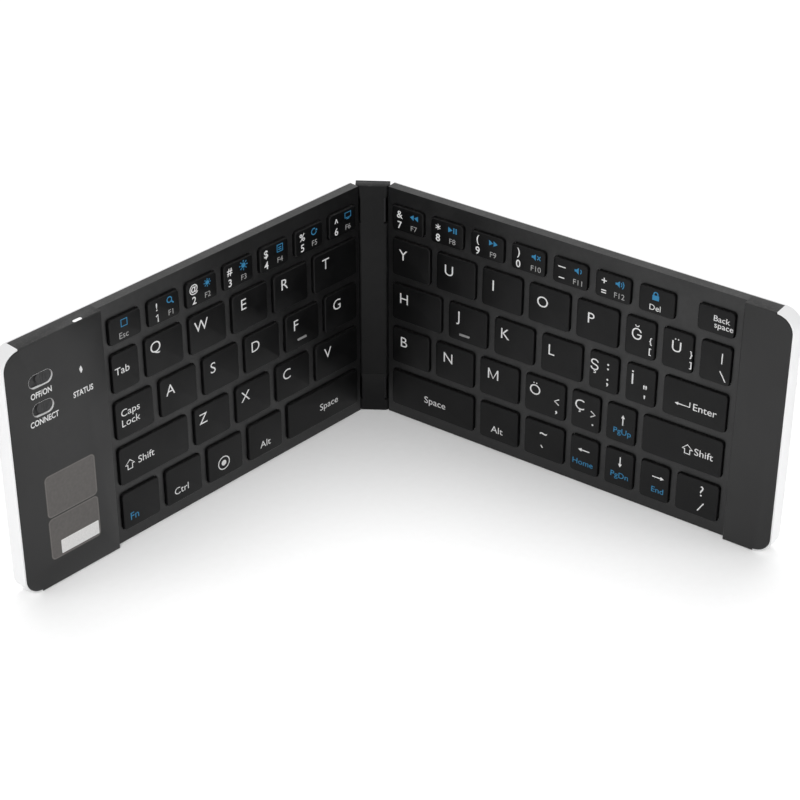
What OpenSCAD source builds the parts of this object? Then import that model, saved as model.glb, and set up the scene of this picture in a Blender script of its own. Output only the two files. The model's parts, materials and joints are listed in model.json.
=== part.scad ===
// Folding keyboard of two hinged halves, standing half open on its near edge.
// Millimetres. X runs from the left half to the right half, +Z is up and -Y faces the typist.
// The origin is on the floor, midway between the two hinge pins.
// Each half is drawn lying along +X from its hinge side: x along the row, y into its
// thickness from the deck's front face, z from its near edge to its far edge.

/* [Pose] */
// Angle of the left half from lying flat, in degrees
left_angle = 50; // [10:0.5:80]
// Angle of the right half from lying flat, in degrees
right_angle = 31.5; // [10:0.5:80]

/* [Halves] */
// Depth of the keyboard from its near edge to its far edge
board_z = 97; // [96:0.5:102]
// Thickness of a deck without its keys
deck_t = 4.7; // [4.5:0.1:6]
// How far the raised ends stand over the decks
ear_rise = 2.1; // [1.8:0.1:2.6]
// Length of each half from its hinge side to its outer end
half_x = 165.6; // [160:0.2:172]
// Length of the left raised end
left_ear_x = 41.6; // [41:0.2:46]
// Length of the right raised end
right_ear_x = 18.8; // [16:0.2:22]
// Radius of the outer corners
corner_r = 7; // [5:0.5:9]
// Thickness of the metal back plate
shell_t = 0.8; // [0.6:0.1:1]
// Thickness of the metal band round the outer end
band_t = 0.7; // [0.5:0.1:0.9]
// How far the band's front edge stays behind the front of the raised end
band_drop = 0.2; // [0.1:0.1:0.5]
// Thickness of the plastic fronts
front_t = 1.2; // [1:0.1:1.4]
// Thickness of the plastic side walls
wall_t = 1.2; // [1:0.1:1.4]

/* [Keys] */
// Gap between the keys of the left home row, which sets the width of a letter key
key_space = 3.35; // [2.6:0.05:4]
// Width of a narrow key, in letter keys
narrow_units = 0.692; // [0.62:0.002:0.72]
// Width of a number key, in letter keys
number_units = 0.822; // [0.72:0.002:0.85]
// Width of the letter keys that reach the hinge side in staggered rows, in letter keys
edge_units = 1.314; // [1.2:0.002:1.36]
// Width of a shift key, in letter keys
shift_units = 1.888; // [1.7:0.002:1.94]
// Width of each half of the space bar, in letter keys
space_units = 2.201; // [2:0.001:2.3]
// Width of the enter key, in letter keys
enter_units = 1.467; // [1.3:0.001:1.52]
// Width left empty beside the backspace key, in letter keys
blank_units = 0.124; // [0.06:0.002:0.24]
// Height of a number key, in letter keys
number_rise = 0.651; // [0.6:0.001:0.7]
// Gap between two rows
row_gap = 3.75; // [3:0.05:4]
// Distance from the near edge to the lowest row
near_margin = 5.1; // [4:0.1:5.5]
// Distance from the number row to the far edge
far_margin = 6.2; // [5:0.1:7]
// Distance from the hinge side to the first keys
hinge_margin = 2.45; // [2.4:0.05:3]
// Distance from the last keys to the raised end
ear_margin = 3.4; // [2.4:0.1:4]
// Radius of a key's corners
key_r = 1.4; // [0.8:0.1:2]
// How far a key stands over the deck
key_rise = 1.2; // [1:0.1:1.5]
// How far a key reaches into the deck
key_skirt = 1; // [0.8:0.1:1.1]
// Thickness of a key's top
key_top_t = 0.9; // [0.7:0.1:1.1]
// Thickness of a key's side walls
key_wall_t = 0.9; // [0.7:0.1:1.1]
// Step that softens the edge of a key's top
key_edge = 0.3; // [0.2:0.05:0.4]
// Travel of a key
key_travel = 1.2; // [0.8:0.1:1.2]
// Clearance round a key in its opening
key_gap = 0.3; // [0.2:0.05:0.4]
// Radius of the post under a key that presses its dome
post_r = 1.6; // [1:0.1:2]

/* [Hinge] */
// Distance between the two hinge pins
pin_spacing = 8.2; // [8:0.1:9]
// Distance from a pin to the hinge side of its half
pin_reach = 2.6; // [2.5:0.05:3]
// Depth of a pin behind the deck's front face
pin_depth = 0.8; // [0.7:0.05:0.9]
// Radius of a hinge pin
pin_r = 0.9; // [0.8:0.05:1]
// Radius of the knuckles on the half's bracket
knuckle_r = 1.6; // [1.4:0.05:1.65]
// Height of a knuckle
knuckle_z = 10; // [6:0.5:12]
// Distance from the near or far edge to the closest knuckle
knuckle_margin = 5; // [4:0.5:6]
// Radial clearance of a pin where it is held
hold_gap = 0.02; // [0.01:0.01:0.04]
// Radial clearance of a pin where a knuckle turns on it
turn_gap = 0.05; // [0.03:0.01:0.08]
// Clearance between moving faces at the hinge
hinge_gap = 0.3; // [0.25:0.05:0.4]
// Thickness of the bracket strip and of its arms
bracket_t = 0.8; // [0.6:0.05:0.85]
// Height of the spine's lower cap
cap_z = 16.5; // [16:0.5:20]
// Thickness of the spine's back plate
back_plate_t = 0.5; // [0.4:0.1:0.6]
// Distance from the spine's ends to the ends of the pins
pin_end = 1.5; // [1:0.1:2.5]

/* [Inside] */
// Thickness of the steel support plate
support_t = 0.5; // [0.4:0.05:0.6]
// Thickness of the switch membrane
membrane_t = 0.2; // [0.15:0.05:0.3]
// Thickness of the dome sheet
sheet_t = 0.2; // [0.15:0.05:0.3]
// Clearance between a dome and the post of a key that is pressed right down
press_gap = 0.2; // [0.1:0.05:0.3]
// Radius of a dome
dome_r = 2.6; // [2:0.1:3]
// Clearance round the sheets inside the walls
sheet_gap = 0.3; // [0.2:0.1:0.6]
// Thickness of the flat cable
cable_t = 0.15; // [0.1:0.05:0.2]
// Width of the flat cable
cable_z = 10; // [6:0.5:14]
// Height of the flat cable's middle over the near edge
cable_mid_z = 49; // [40:1:60]
// Wall left between a pin and the cable channel of the spine
cable_room = 1.3; // [1.2:0.1:1.6]
// Thickness of the circuit board
board_t = 0.8; // [0.6:0.1:1]
// Height of the chips on the circuit board
chip_t = 1; // [0.6:0.1:1.2]
// Thickness of the battery
battery_t = 3; // [2.5:0.1:3.2]
// Room between the battery and the strip of board beside it
battery_room = 2.35; // [0.5:0.05:6]
// Length of the battery
battery_z = 42; // [30:0.5:43]
// Height of the battery over the near edge
battery_low_z = 11; // [4:0.5:14]
// Radius of a closing magnet
magnet_r = 2.5; // [2:0.1:2.6]
// Thickness of a closing magnet
magnet_t = 1.2; // [0.8:0.1:1.5]
// Distance of the magnets from the outer end of their half
magnet_inset = 6.9; // [6:0.1:9]
// Height of the lower magnet over the near edge
low_magnet_z = 20; // [12:1:40]
// Height of the upper magnet over the near edge
high_magnet_z = 61; // [45:1:63]
// Radius of a rubber foot
foot_r = 3.5; // [2.5:0.1:4.5]
// Thickness of a rubber foot
foot_t = 0.6; // [0.4:0.1:1]
// Distance of the rubber feet from the sides of their half
foot_inset = 14; // [8:0.5:20]

/* [Left end] */
// Distance of the two switches from the outer end
switch_inset = 14.6; // [14:0.1:16.6]
// Distance of the power switch from the far edge
power_drop = 14.5; // [13:0.1:16]
// Distance of the connect switch from the far edge
connect_drop = 25.6; // [24:0.1:27]
// Length of the power switch's slot
power_slot_x = 10; // [9:0.5:11]
// Length of the connect switch's slot
connect_slot_x = 9; // [8:0.5:10]
// Width of both slots
slot_z = 5.3; // [4.5:0.1:5.5]
// Travel of the power switch
power_travel = 3; // [2:0.1:3.5]
// Travel of the connect switch
connect_travel = 2; // [1:0.1:2.5]
// Clearance round a switch knob in its slot
knob_gap = 0.3; // [0.2:0.05:0.4]
// How far a switch knob stays below the front
knob_drop = 0.5; // [0.3:0.1:0.8]
// Width of a grip rib on a switch knob
rib_w = 0.4; // [0.3:0.05:0.5]
// Distance between the grip ribs
rib_pitch = 1.1; // [0.9:0.1:1.4]
// Distance of the status light from the deck
status_reach = 10.3; // [9:0.1:12]
// Distance of the status light from the far edge
status_drop = 18.1; // [16:0.1:21]
// Width of the status light
status_w = 1.3; // [1:0.1:2]
// Height of the status light
status_h = 3; // [2:0.1:4]
// Distance of the charge light from the deck
charge_reach = 9.2; // [7:0.1:12]
// Width of the charge light on the far edge
charge_w = 3.6; // [2.5:0.1:4]
// Thickness of the charge light on the far edge
charge_t = 1.4; // [1:0.1:1.5]
// Front skin left before the charge light
charge_skin = 0.4; // [0.3:0.1:0.6]
// Clearance round the two lights
light_gap = 0.1; // [0.05:0.05:0.15]
// Distance of the charging socket from the deck
socket_reach = 7; // [6.6:0.1:8]
// Width of the charging socket
socket_w = 7.5; // [7:0.1:8]
// Height of the charging socket
socket_h = 2.6; // [2.3:0.1:2.7]
// Length of the charging socket
socket_z = 5.5; // [5:0.1:6]
// Wall of the charging socket
socket_wall = 0.3; // [0.2:0.05:0.4]
// Width of the socket's contact tongue
tongue_w = 4; // [3:0.1:4.5]
// Thickness of the socket's contact tongue
tongue_t = 0.6; // [0.4:0.1:0.8]
// Distance of the label plates' middle from the outer end
label_inset = 22.8; // [20:0.1:24]
// Width of the label plates
label_w = 21.8; // [18:0.1:23]
// Height of each label plate
label_h = 17; // [14:0.1:17.2]
// Distance from the near edge to the lower label plate
label_z = 10.1; // [9:0.1:11]
// Gap between the two label plates
label_gap = 0.4; // [0.3:0.1:1]
// Thickness of a label plate
label_t = 0.15; // [0.1:0.05:0.25]
// Radius of a label plate's corners
label_r = 1.8; // [1:0.1:3]

/* [Hidden] */
$fn = 48;

// How far a cut runs past the face that it opens
cut = 1;
// Clearance of a bracket arm in its window in the deck's wall
arm_gap = 0.1;
// Distance from a knuckle's middle to the room that its arm needs
arm_room = 0.2;
// Step that the keys' sizes are rounded to
size_step = 0.01;
// Straight end left on a slot, so that its arcs meet in a face
slot_flat = 0.01;
// Width of the status bolt at its waist, as a share of its full width
bolt_waist = 0.7;
home_count = 6;
row_count = 5;

left_deck_x = half_x - left_ear_x;
right_deck_x = half_x - right_ear_x;
letter_w = snap((left_deck_x - hinge_margin - ear_margin - (home_count - 1) * key_space) / home_count);
narrow_w = snap(narrow_units * letter_w);
number_w = snap(number_units * letter_w);
edge_w = snap(edge_units * letter_w);
shift_w = snap(shift_units * letter_w);
space_w = snap(space_units * letter_w);
enter_w = snap(enter_units * letter_w);
blank_w = snap(blank_units * letter_w);
rows_z = board_z - near_margin - far_margin - (row_count - 1) * row_gap;
key_h = snap(rows_z / (row_count - 1 + number_rise));
number_h = snap(number_rise * key_h);
switch_x = half_x - switch_inset;
label_x = half_x - label_inset;
status_x = left_deck_x + status_reach;
charge_x = left_deck_x + charge_reach;
socket_x = left_deck_x + socket_reach;
power_z = board_z - power_drop;
connect_z = board_z - connect_drop;
status_z = board_z - status_drop;
strip_x = socket_w + 2 * sheet_gap;
battery_x = half_x - band_t - wall_t - sheet_gap - socket_x - strip_x / 2 - battery_room;
shell_y = deck_t - shell_t;
support_y = shell_y - support_t;
membrane_y = support_y - membrane_t;
sheet_y = membrane_y - sheet_t;
dome_h = sheet_y - key_skirt - key_travel - press_gap;
ear_y = -ear_rise;
ear_in_y = ear_y + front_t;
board_y = shell_y - board_t;
spine_r = pin_reach - hinge_gap;
spine_half_w = pin_spacing / 2 + spine_r;
spine_back_y = spine_r - back_plate_t;
straight_x = half_x - corner_r;
low_knuckle_z = knuckle_margin;
high_knuckle_z = board_z - knuckle_margin - knuckle_z;
arm_y = front_t;
left_end_in_x = left_deck_x + wall_t;
power_knob_x = power_slot_x - power_travel - 2 * knob_gap;
connect_knob_x = connect_slot_x - connect_travel - 2 * knob_gap;
channel_w = pin_spacing - 2 * pin_r - 2 * cable_room;
cable_slot_y = pin_r + hinge_gap / 2;
board_split_z = battery_low_z + battery_z + 2 * sheet_gap;
charge_y = ear_y + charge_skin + charge_t / 2;
charge_low_z = board_z - wall_t - band_t - 2 * charge_t;

// Rows from the number row down, each a list of key widths from the hinge side outwards.
// A negative width is an empty place in the row.
LEFT_ROWS = [
    [for (i = [1 : 7]) number_w],
    [edge_w, letter_w, letter_w, letter_w, letter_w, narrow_w],
    [for (i = [1 : home_count]) letter_w],
    [edge_w, letter_w, letter_w, letter_w, shift_w],
    [space_w, letter_w, letter_w, letter_w, letter_w]
];
RIGHT_ROWS = [
    [for (i = [1 : 9]) i == 8 ? -blank_w : number_w],
    [for (i = [1 : 8]) i <= 5 ? letter_w : narrow_w],
    [edge_w, letter_w, letter_w, letter_w, narrow_w, narrow_w, enter_w],
    [letter_w, letter_w, letter_w, letter_w, narrow_w, narrow_w, shift_w],
    [space_w, letter_w, letter_w, narrow_w, narrow_w, narrow_w, letter_w]
];

function snap(size) = round(size / size_step) * size_step;
function total(list, count) = count <= 0 ? 0 : abs(list[count - 1]) + total(list, count - 1);
function row_z(row) = near_margin + (row_count - 1 - row) * (key_h + row_gap);
function row_h(row) = row == 0 ? number_h : key_h;
function deck_x(rows) = rows == LEFT_ROWS ? left_deck_x : right_deck_x;
function row_space(rows, row) =
    (deck_x(rows) - ear_margin - hinge_margin - total(rows[row], len(rows[row])))
    / (len(rows[row]) - 1);
function key_x(rows, row, i) = hinge_margin + total(rows[row], i) + i * row_space(rows, row);

// Places a half's own drawing in the standing keyboard.
module right_half() {
    translate([pin_spacing / 2, 0, 0])
        rotate([0, 0, -right_angle])
            translate([pin_reach, -pin_depth, 0])
                children();
}

module left_half() {
    translate([-pin_spacing / 2, 0, 0])
        rotate([0, 0, left_angle])
            mirror([1, 0, 0])
                translate([pin_reach, -pin_depth, 0])
                    children();
}

// Extrudes a drawing of x and z through the thickness from y = from to y = to.
module slab(from, to) {
    translate([0, to, 0])
        rotate([90, 0, 0])
            linear_extrude(to - from)
                children();
}

module round_rect(w, h, r) {
    translate([r, 0]) square([w - 2 * r, h]);
    translate([0, r]) square([w, h - 2 * r]);
    for (x = [r, w - r], y = [r, h - r]) translate([x, y]) circle(r);
}

module pill(w, h) {
    translate([-w / 2, -h / 2]) round_rect(w, h, h / 2 - slot_flat);
}

// Rounded outer end of a half from x = from outwards, drawn in by inset.
module end_cap(inset, from = straight_x) {
    r = corner_r - inset;
    intersection() {
        translate([straight_x - 2 * r, inset]) round_rect(3 * r, board_z - 2 * inset, r);
        translate([from, 0]) square([2 * corner_r, board_z]);
    }
}

// Outline of a half from x = from to its outer end, drawn in by inset round the end only.
module half_outline(from, inset) {
    translate([from, 0]) square([straight_x - from, board_z]);
    end_cap(inset, straight_x - cut);
}

module key_outline(rows, row, i, grow) {
    translate([key_x(rows, row, i) - grow, row_z(row) - grow])
        round_rect(rows[row][i] + 2 * grow, row_h(row) + 2 * grow, key_r + grow);
}

module key(rows, row, i) {
    w = rows[row][i];
    h = row_h(row);
    x = key_x(rows, row, i);
    z = row_z(row);
    difference() {
        union() {
            slab(-key_rise + key_edge, key_skirt) key_outline(rows, row, i, 0);
            slab(-key_rise, key_skirt) key_outline(rows, row, i, -key_edge);
        }
        translate([x + key_wall_t, -key_rise + key_top_t, z + key_wall_t])
            cube([w - 2 * key_wall_t, key_rise + key_skirt, h - 2 * key_wall_t]);
    }
    slab(-key_rise + key_edge, key_skirt)
        translate([x + w / 2, z + h / 2]) circle(post_r);
}

module keys(rows, row, picks) {
    color("#262626") for (i = picks) key(rows, row, i);
}

// Spine between the halves: its section has front edges rounded about the pins.
module spine_section(back) {
    translate([-spine_half_w, 0]) square([2 * spine_half_w, back]);
    translate([-pin_spacing / 2, -spine_r]) square([pin_spacing, spine_r + back]);
    for (side = [-1, 1]) translate([side * pin_spacing / 2, 0]) circle(spine_r);
}

// Room that a knuckle and its arm need from lying flat to closed.
module knuckle_room() {
    circle(knuckle_r + hinge_gap);
    translate([arm_room, -2 * spine_r]) square([2 * spine_r, 2 * spine_r + spine_back_y]);
}

module spine_block(from, to) {
    difference() {
        translate([0, 0, from])
            linear_extrude(to - from)
                intersection() {
                    spine_section(spine_back_y);
                    translate([-2 * spine_half_w, -2 * spine_r])
                        square([4 * spine_half_w, 2 * spine_r + spine_back_y]);
                }
        for (side = [-1, 1]) translate([side * pin_spacing / 2, 0, 0]) mirror([side < 0 ? 1 : 0, 0, 0]) {
            translate([0, 0, pin_end]) cylinder(r = pin_r + hold_gap, h = board_z - 2 * pin_end);
            for (z = [low_knuckle_z, high_knuckle_z])
                translate([0, 0, z - hinge_gap])
                    linear_extrude(knuckle_z + 2 * hinge_gap)
                        knuckle_room();
        }
    }
}

module spine_housing() {
    color("#2b2b2b") difference() {
        spine_block(cap_z, board_z);
        translate([-channel_w / 2, -spine_r + front_t, cap_z - cut])
            cube([channel_w, 2 * spine_r, board_z - cap_z - front_t + cut]);
        translate([-spine_half_w - cut, cable_slot_y, cable_mid_z - cable_z / 2 - sheet_gap])
            cube([2 * spine_half_w + 2 * cut, spine_r, cable_z + 2 * sheet_gap]);
    }
}

module spine_lower_cap() {
    color("#262626") spine_block(0, cap_z);
}

module spine_back_plate() {
    color("#1e1e1e")
        translate([-spine_half_w, spine_back_y, 0])
            cube([2 * spine_half_w, back_plate_t, board_z]);
}

module hinge_pin(side) {
    color("#9a9a9a")
        translate([side * pin_spacing / 2, 0, pin_end])
            cylinder(r = pin_r, h = board_z - 2 * pin_end);
}

module left_hinge_pin() hinge_pin(-1);

module right_hinge_pin() hinge_pin(1);

module flex_cable() {
    color("#b5763a")
        translate([-spine_half_w, spine_back_y - cable_t, cable_mid_z - cable_z / 2])
            cube([2 * spine_half_w, cable_t, cable_z]);
}

// Metal shell: the back of a half and the band round its outer end.
module back_shell() {
    color("#e6e6e6") {
        slab(shell_y, deck_t) half_outline(0, 0);
        slab(ear_y + band_drop, deck_t) difference() {
            end_cap(0);
            end_cap(band_t);
        }
    }
}

module left_back_shell() left_half() back_shell();

module right_back_shell() right_half() back_shell();

// Plastic front of a deck with an opening for every key and walls round three sides.
module deck_frame(rows) {
    length = deck_x(rows);
    color("#3c3c3c") difference() {
        slab(0, shell_y) square([length, board_z]);
        difference() {
            slab(front_t, shell_y + cut)
                translate([wall_t, wall_t]) square([length - 2 * wall_t, board_z - 2 * wall_t]);
            for (row = [0 : row_count - 2])
                translate([wall_t + bracket_t, 0, row_z(row) - row_gap / 2 - wall_t / 2])
                    cube([length - wall_t, sheet_y, wall_t]);
        }
        for (row = [0 : row_count - 1], i = [0 : len(rows[row]) - 1])
            if (rows[row][i] > 0)
                slab(-cut, front_t + cut / 2) key_outline(rows, row, i, key_gap);
        for (z = [low_knuckle_z, high_knuckle_z])
            translate([-cut, arm_y, z])
                cube([wall_t + cut, bracket_t + arm_gap, knuckle_z]);
        translate([-cut, arm_y + bracket_t / 2, cable_mid_z - cable_z / 2 - sheet_gap])
            cube([wall_t + cut, membrane_t + sheet_y - arm_y, cable_z + 2 * sheet_gap]);
    }
}

module left_deck_frame() left_half() deck_frame(LEFT_ROWS);

module right_deck_frame() right_half() deck_frame(RIGHT_ROWS);

// Steel strip inside the hinge side wall, with two arms that end in knuckles on the pin.
module hinge_bracket() {
    color("#8d8d8d") difference() {
        union() {
            translate([wall_t, front_t, wall_t])
                cube([bracket_t, sheet_y - front_t, board_z - 2 * wall_t]);
            for (z = [low_knuckle_z, high_knuckle_z]) {
                translate([-pin_reach, arm_y, z])
                    cube([pin_reach + wall_t + bracket_t / 2, bracket_t, knuckle_z]);
                translate([-pin_reach, pin_depth, z]) cylinder(r = knuckle_r, h = knuckle_z);
            }
        }
        translate([-pin_reach, pin_depth, 0]) cylinder(r = pin_r + turn_gap, h = board_z);
        translate([0, arm_y + bracket_t / 2, cable_mid_z - cable_z / 2 - sheet_gap])
            cube([wall_t + bracket_t + cut, sheet_y, cable_z + 2 * sheet_gap]);
    }
}

module left_hinge_bracket() left_half() hinge_bracket();

module right_hinge_bracket() right_half() hinge_bracket();

// Raised plastic end: a front with walls all round, its outer wall inside the metal band.
module ear_cover(from) {
    edge = wall_t + band_t;
    difference() {
        slab(ear_y, shell_y) half_outline(from, band_t);
        slab(ear_in_y, shell_y + cut) {
            translate([from + wall_t, edge])
                square([straight_x - from - wall_t, board_z - 2 * edge]);
            end_cap(edge, straight_x - cut);
        }
    }
}

module left_ear_cover() {
    color("#414141") left_half() difference() {
        ear_cover(left_deck_x);
        slab(ear_y - cut, ear_in_y + cut) {
            translate([switch_x, power_z]) pill(power_slot_x, slot_z);
            translate([switch_x, connect_z]) pill(connect_slot_x, slot_z);
            status_outline(light_gap);
        }
        slab(ear_y - cut, ear_y + label_t) label_outlines(0);
        charge_window(light_gap);
        translate([socket_x - socket_w / 2 - light_gap, board_y - socket_h - light_gap, -cut])
            cube([socket_w + 2 * light_gap, socket_h + 2 * light_gap, wall_t + band_t + 2 * cut]);
    }
}

module right_ear_cover() {
    color("#414141") right_half() ear_cover(right_deck_x);
}

// Plain sheet that fills the room between the walls of a deck.
module deck_sheet(rows, from, to) {
    edge = wall_t + sheet_gap;
    slab(from, to)
        translate([edge, edge])
            square([deck_x(rows) - 2 * edge, board_z - 2 * edge]);
}

module left_support_plate() {
    color("#a8a8a8") left_half() deck_sheet(LEFT_ROWS, support_y, shell_y);
}

module right_support_plate() {
    color("#a8a8a8") right_half() deck_sheet(RIGHT_ROWS, support_y, shell_y);
}

// Switch membrane with a tail through the hinge side for the flat cable.
module membrane(rows) {
    color("#c9c4a6") {
        deck_sheet(rows, membrane_y, support_y);
        translate([0, membrane_y, cable_mid_z - cable_z / 2])
            cube([wall_t + 2 * sheet_gap, membrane_t, cable_z]);
    }
}

module left_membrane() left_half() membrane(LEFT_ROWS);

module right_membrane() right_half() membrane(RIGHT_ROWS);

// Rubber sheet with a low dome under every key.
module dome_sheet(rows) {
    color("#d8d8d8") {
        deck_sheet(rows, sheet_y, membrane_y);
        for (row = [0 : row_count - 1], i = [0 : len(rows[row]) - 1])
            if (rows[row][i] > 0)
                translate([key_x(rows, row, i) + rows[row][i] / 2, sheet_y, row_z(row) + row_h(row) / 2])
                    rotate([90, 0, 0])
                        cylinder(r1 = dome_r, r2 = dome_r - dome_h, h = dome_h);
    }
}

module left_dome_sheet() left_half() dome_sheet(LEFT_ROWS);

module right_dome_sheet() right_half() dome_sheet(RIGHT_ROWS);

// Two disc magnets behind the front of the raised end that hold the keyboard shut.
module magnets() {
    color("#b0b0b0") for (z = [low_magnet_z, high_magnet_z])
        slab(ear_in_y, ear_in_y + magnet_t)
            translate([half_x - magnet_inset, z]) circle(magnet_r);
}

module left_magnets() left_half() magnets();

module right_magnets() right_half() magnets();

// Four rubber feet on the back for typing on a table.
module feet() {
    color("#303030") for (x = [foot_inset, half_x - foot_inset], z = [foot_inset, board_z - foot_inset])
        slab(deck_t, deck_t + foot_t) translate([x, z]) circle(foot_r);
}

module left_feet() left_half() feet();

module right_feet() right_half() feet();

// Circuit board: a wide part under the switches and a strip down to the charging socket.
module main_board() {
    edge = wall_t + band_t + sheet_gap;
    outer_x = half_x - edge;
    color("#1f6b3a") left_half() {
        slab(board_y, shell_y) {
            translate([left_end_in_x + sheet_gap, board_split_z])
                square([straight_x - left_end_in_x, board_z - edge - board_split_z]);
            translate([straight_x, board_split_z])
                square([outer_x - straight_x, board_z - corner_r - board_split_z]);
            translate([socket_x - strip_x / 2, edge]) square([strip_x, board_split_z]);
        }
        for (z = [power_z, connect_z]) chip(switch_x, z, slot_z / 2);
        chip(status_x + 2 * slot_z, power_z, slot_z);
        chip(socket_x, board_split_z, slot_z);
    }
}

// Chip or switch body on the board, slot_z wide.
module chip(x, z, h) {
    translate([x - slot_z / 2, board_y - chip_t, z - h / 2])
        cube([slot_z, chip_t + board_t / 2, h]);
}

module battery() {
    color("#b9bcc2") left_half()
        translate([socket_x + strip_x / 2 + battery_room, shell_y - battery_t, battery_low_z])
            cube([battery_x, battery_t, battery_z]);
}

// Metal socket in the near edge, open downwards, with its contact tongue.
module charging_socket() {
    y = board_y - socket_h;
    color("#c8c8c8") left_half() {
        difference() {
            translate([socket_x - socket_w / 2, y, 0])
                cube([socket_w, socket_h, socket_z]);
            translate([socket_x - socket_w / 2 + socket_wall, y + socket_wall, -cut])
                cube([socket_w - 2 * socket_wall, socket_h - 2 * socket_wall,
                      socket_z - socket_wall + cut]);
        }
        translate([socket_x - tongue_w / 2, y + socket_h / 2 - tongue_t / 2, socket_wall])
            cube([tongue_w, tongue_t, socket_z - 3 / 2 * socket_wall]);
    }
}

// Small bolt shape of the status light.
module status_outline(grow) {
    w = status_w / 2 + grow;
    h = status_h / 2 + grow;
    translate([status_x, status_z])
        polygon([[0, h], [w, h / 4], [w * bolt_waist, -h / 3],
                 [0, -h], [-w, -h / 4], [-w * bolt_waist, h / 3]]);
}

// Window of the charge light in the far edge.
module charge_window(grow) {
    translate([charge_x, charge_y, charge_low_z - grow])
        linear_extrude(board_z - charge_low_z + 2 * grow)
            pill(charge_w + 2 * grow, charge_t + 2 * grow);
}

// Clear pipes that carry the light of the status and charge lamps from the board.
module light_pipes() {
    color("white") left_half() {
        slab(ear_y, board_y) status_outline(0);
        charge_window(0);
        translate([charge_x - charge_t / 2, charge_y, charge_low_z])
            cube([charge_t, board_y - charge_y, charge_t]);
    }
}

module label_outlines(grow) {
    for (z = [label_z, label_z + label_h + label_gap])
        translate([label_x - label_w / 2 - grow, z - grow])
            round_rect(label_w + 2 * grow, label_h + 2 * grow, label_r);
}

module label_plates() {
    color("#8f8a86") left_half() slab(ear_y, ear_y + label_t) label_outlines(0);
}

// Switch knob on a plate that slides behind the front and always covers its slot.
module slider(slot_x, knob_x, travel, z) {
    slot_from = switch_x - slot_x / 2;
    x = slot_from + knob_gap + knob_x / 2;
    plate_y = ear_in_y + knob_gap / 2;
    plate_t = front_t / 2;
    stem = slot_z / 4;
    color("#333333") left_half() {
        slab(ear_y + knob_drop, plate_y + plate_t)
            translate([x, z]) pill(knob_x, slot_z - 2 * knob_gap);
        translate([slot_from - travel - knob_gap, plate_y, z - slot_z / 2 - knob_gap])
            cube([slot_x + travel + 2 * knob_gap, plate_t, slot_z + 2 * knob_gap]);
        for (i = [-1 : 1])
            translate([x + i * rib_pitch - rib_w / 2, ear_y + knob_drop - rib_w / 2, z - stem])
                cube([rib_w, rib_w, 2 * stem]);
        translate([x - stem / 2, plate_y, z - stem / 2])
            cube([stem, board_y - chip_t - light_gap - plate_y, stem]);
    }
}

module power_slider() slider(power_slot_x, power_knob_x, power_travel, power_z);

module connect_slider() slider(connect_slot_x, connect_knob_x, connect_travel, connect_z);

spine_housing();
spine_lower_cap();
spine_back_plate();
left_hinge_pin();
right_hinge_pin();
flex_cable();
left_back_shell();
left_deck_frame();
left_hinge_bracket();
left_ear_cover();
left_support_plate();
left_membrane();
left_dome_sheet();
left_magnets();
left_feet();
main_board();
battery();
charging_socket();
light_pipes();
label_plates();
power_slider();
connect_slider();
right_back_shell();
right_deck_frame();
right_hinge_bracket();
right_ear_cover();
right_support_plate();
right_membrane();
right_dome_sheet();
right_magnets();
right_feet();
left_half() keys(LEFT_ROWS, 0, [6]);  // key_esc
left_half() keys(LEFT_ROWS, 1, [5]);  // key_tab
left_half() keys(LEFT_ROWS, 2, [5]);  // key_caps_lock
left_half() keys(LEFT_ROWS, 3, [4]);  // key_left_shift
left_half() keys(LEFT_ROWS, 4, [4]);  // key_fn
left_half() keys(LEFT_ROWS, 4, [3]);  // key_ctrl
left_half() keys(LEFT_ROWS, 4, [2]);  // key_system
left_half() keys(LEFT_ROWS, 4, [1]);  // key_left_alt
left_half() keys(LEFT_ROWS, 4, [0]);  // key_left_space
right_half() keys(RIGHT_ROWS, 0, [6]);  // key_delete
right_half() keys(RIGHT_ROWS, 0, [8]);  // key_backspace
right_half() keys(RIGHT_ROWS, 2, [6]);  // key_enter
right_half() keys(RIGHT_ROWS, 3, [5]);  // key_up
right_half() keys(RIGHT_ROWS, 3, [6]);  // key_right_shift
right_half() keys(RIGHT_ROWS, 4, [0]);  // key_right_space
right_half() keys(RIGHT_ROWS, 4, [1]);  // key_right_alt
right_half() keys(RIGHT_ROWS, 4, [2]);  // key_tilde
right_half() keys(RIGHT_ROWS, 4, [3]);  // key_left
right_half() keys(RIGHT_ROWS, 4, [4]);  // key_down
right_half() keys(RIGHT_ROWS, 4, [5]);  // key_right
right_half() keys(RIGHT_ROWS, 4, [6]);  // key_slash
left_half() keys(LEFT_ROWS, 0, [0 : 5]);  // left_number_keys
left_half() keys(LEFT_ROWS, 1, [0 : 4]);  // left_upper_letter_keys
left_half() keys(LEFT_ROWS, 2, [0 : 4]);  // left_home_letter_keys
left_half() keys(LEFT_ROWS, 3, [0 : 3]);  // left_lower_letter_keys
right_half() keys(RIGHT_ROWS, 0, [0 : 5]);  // right_number_keys
right_half() keys(RIGHT_ROWS, 1, [0 : 7]);  // right_upper_letter_keys
right_half() keys(RIGHT_ROWS, 2, [0 : 5]);  // right_home_letter_keys
right_half() keys(RIGHT_ROWS, 3, [0 : 4]);  // right_lower_letter_keys
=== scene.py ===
"""Folding keyboard: the keys, printed signs, trims and finishes round its packed solids.

The file is laid out as an add-on with one tool for each group of pieces. Run as a
script it uses them all in order, and the two halves stand half open on the floor.
Sizes are in metres. A half is modelled lying flat in front of the typist: X runs along
the rows from the middle of the hinge, Y from the near edge to the far edge, and Z up
from the front of the deck. Then it is turned into its place.
"""

import json
import math

import bmesh
import bpy
from mathutils import Matrix, Vector


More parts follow.
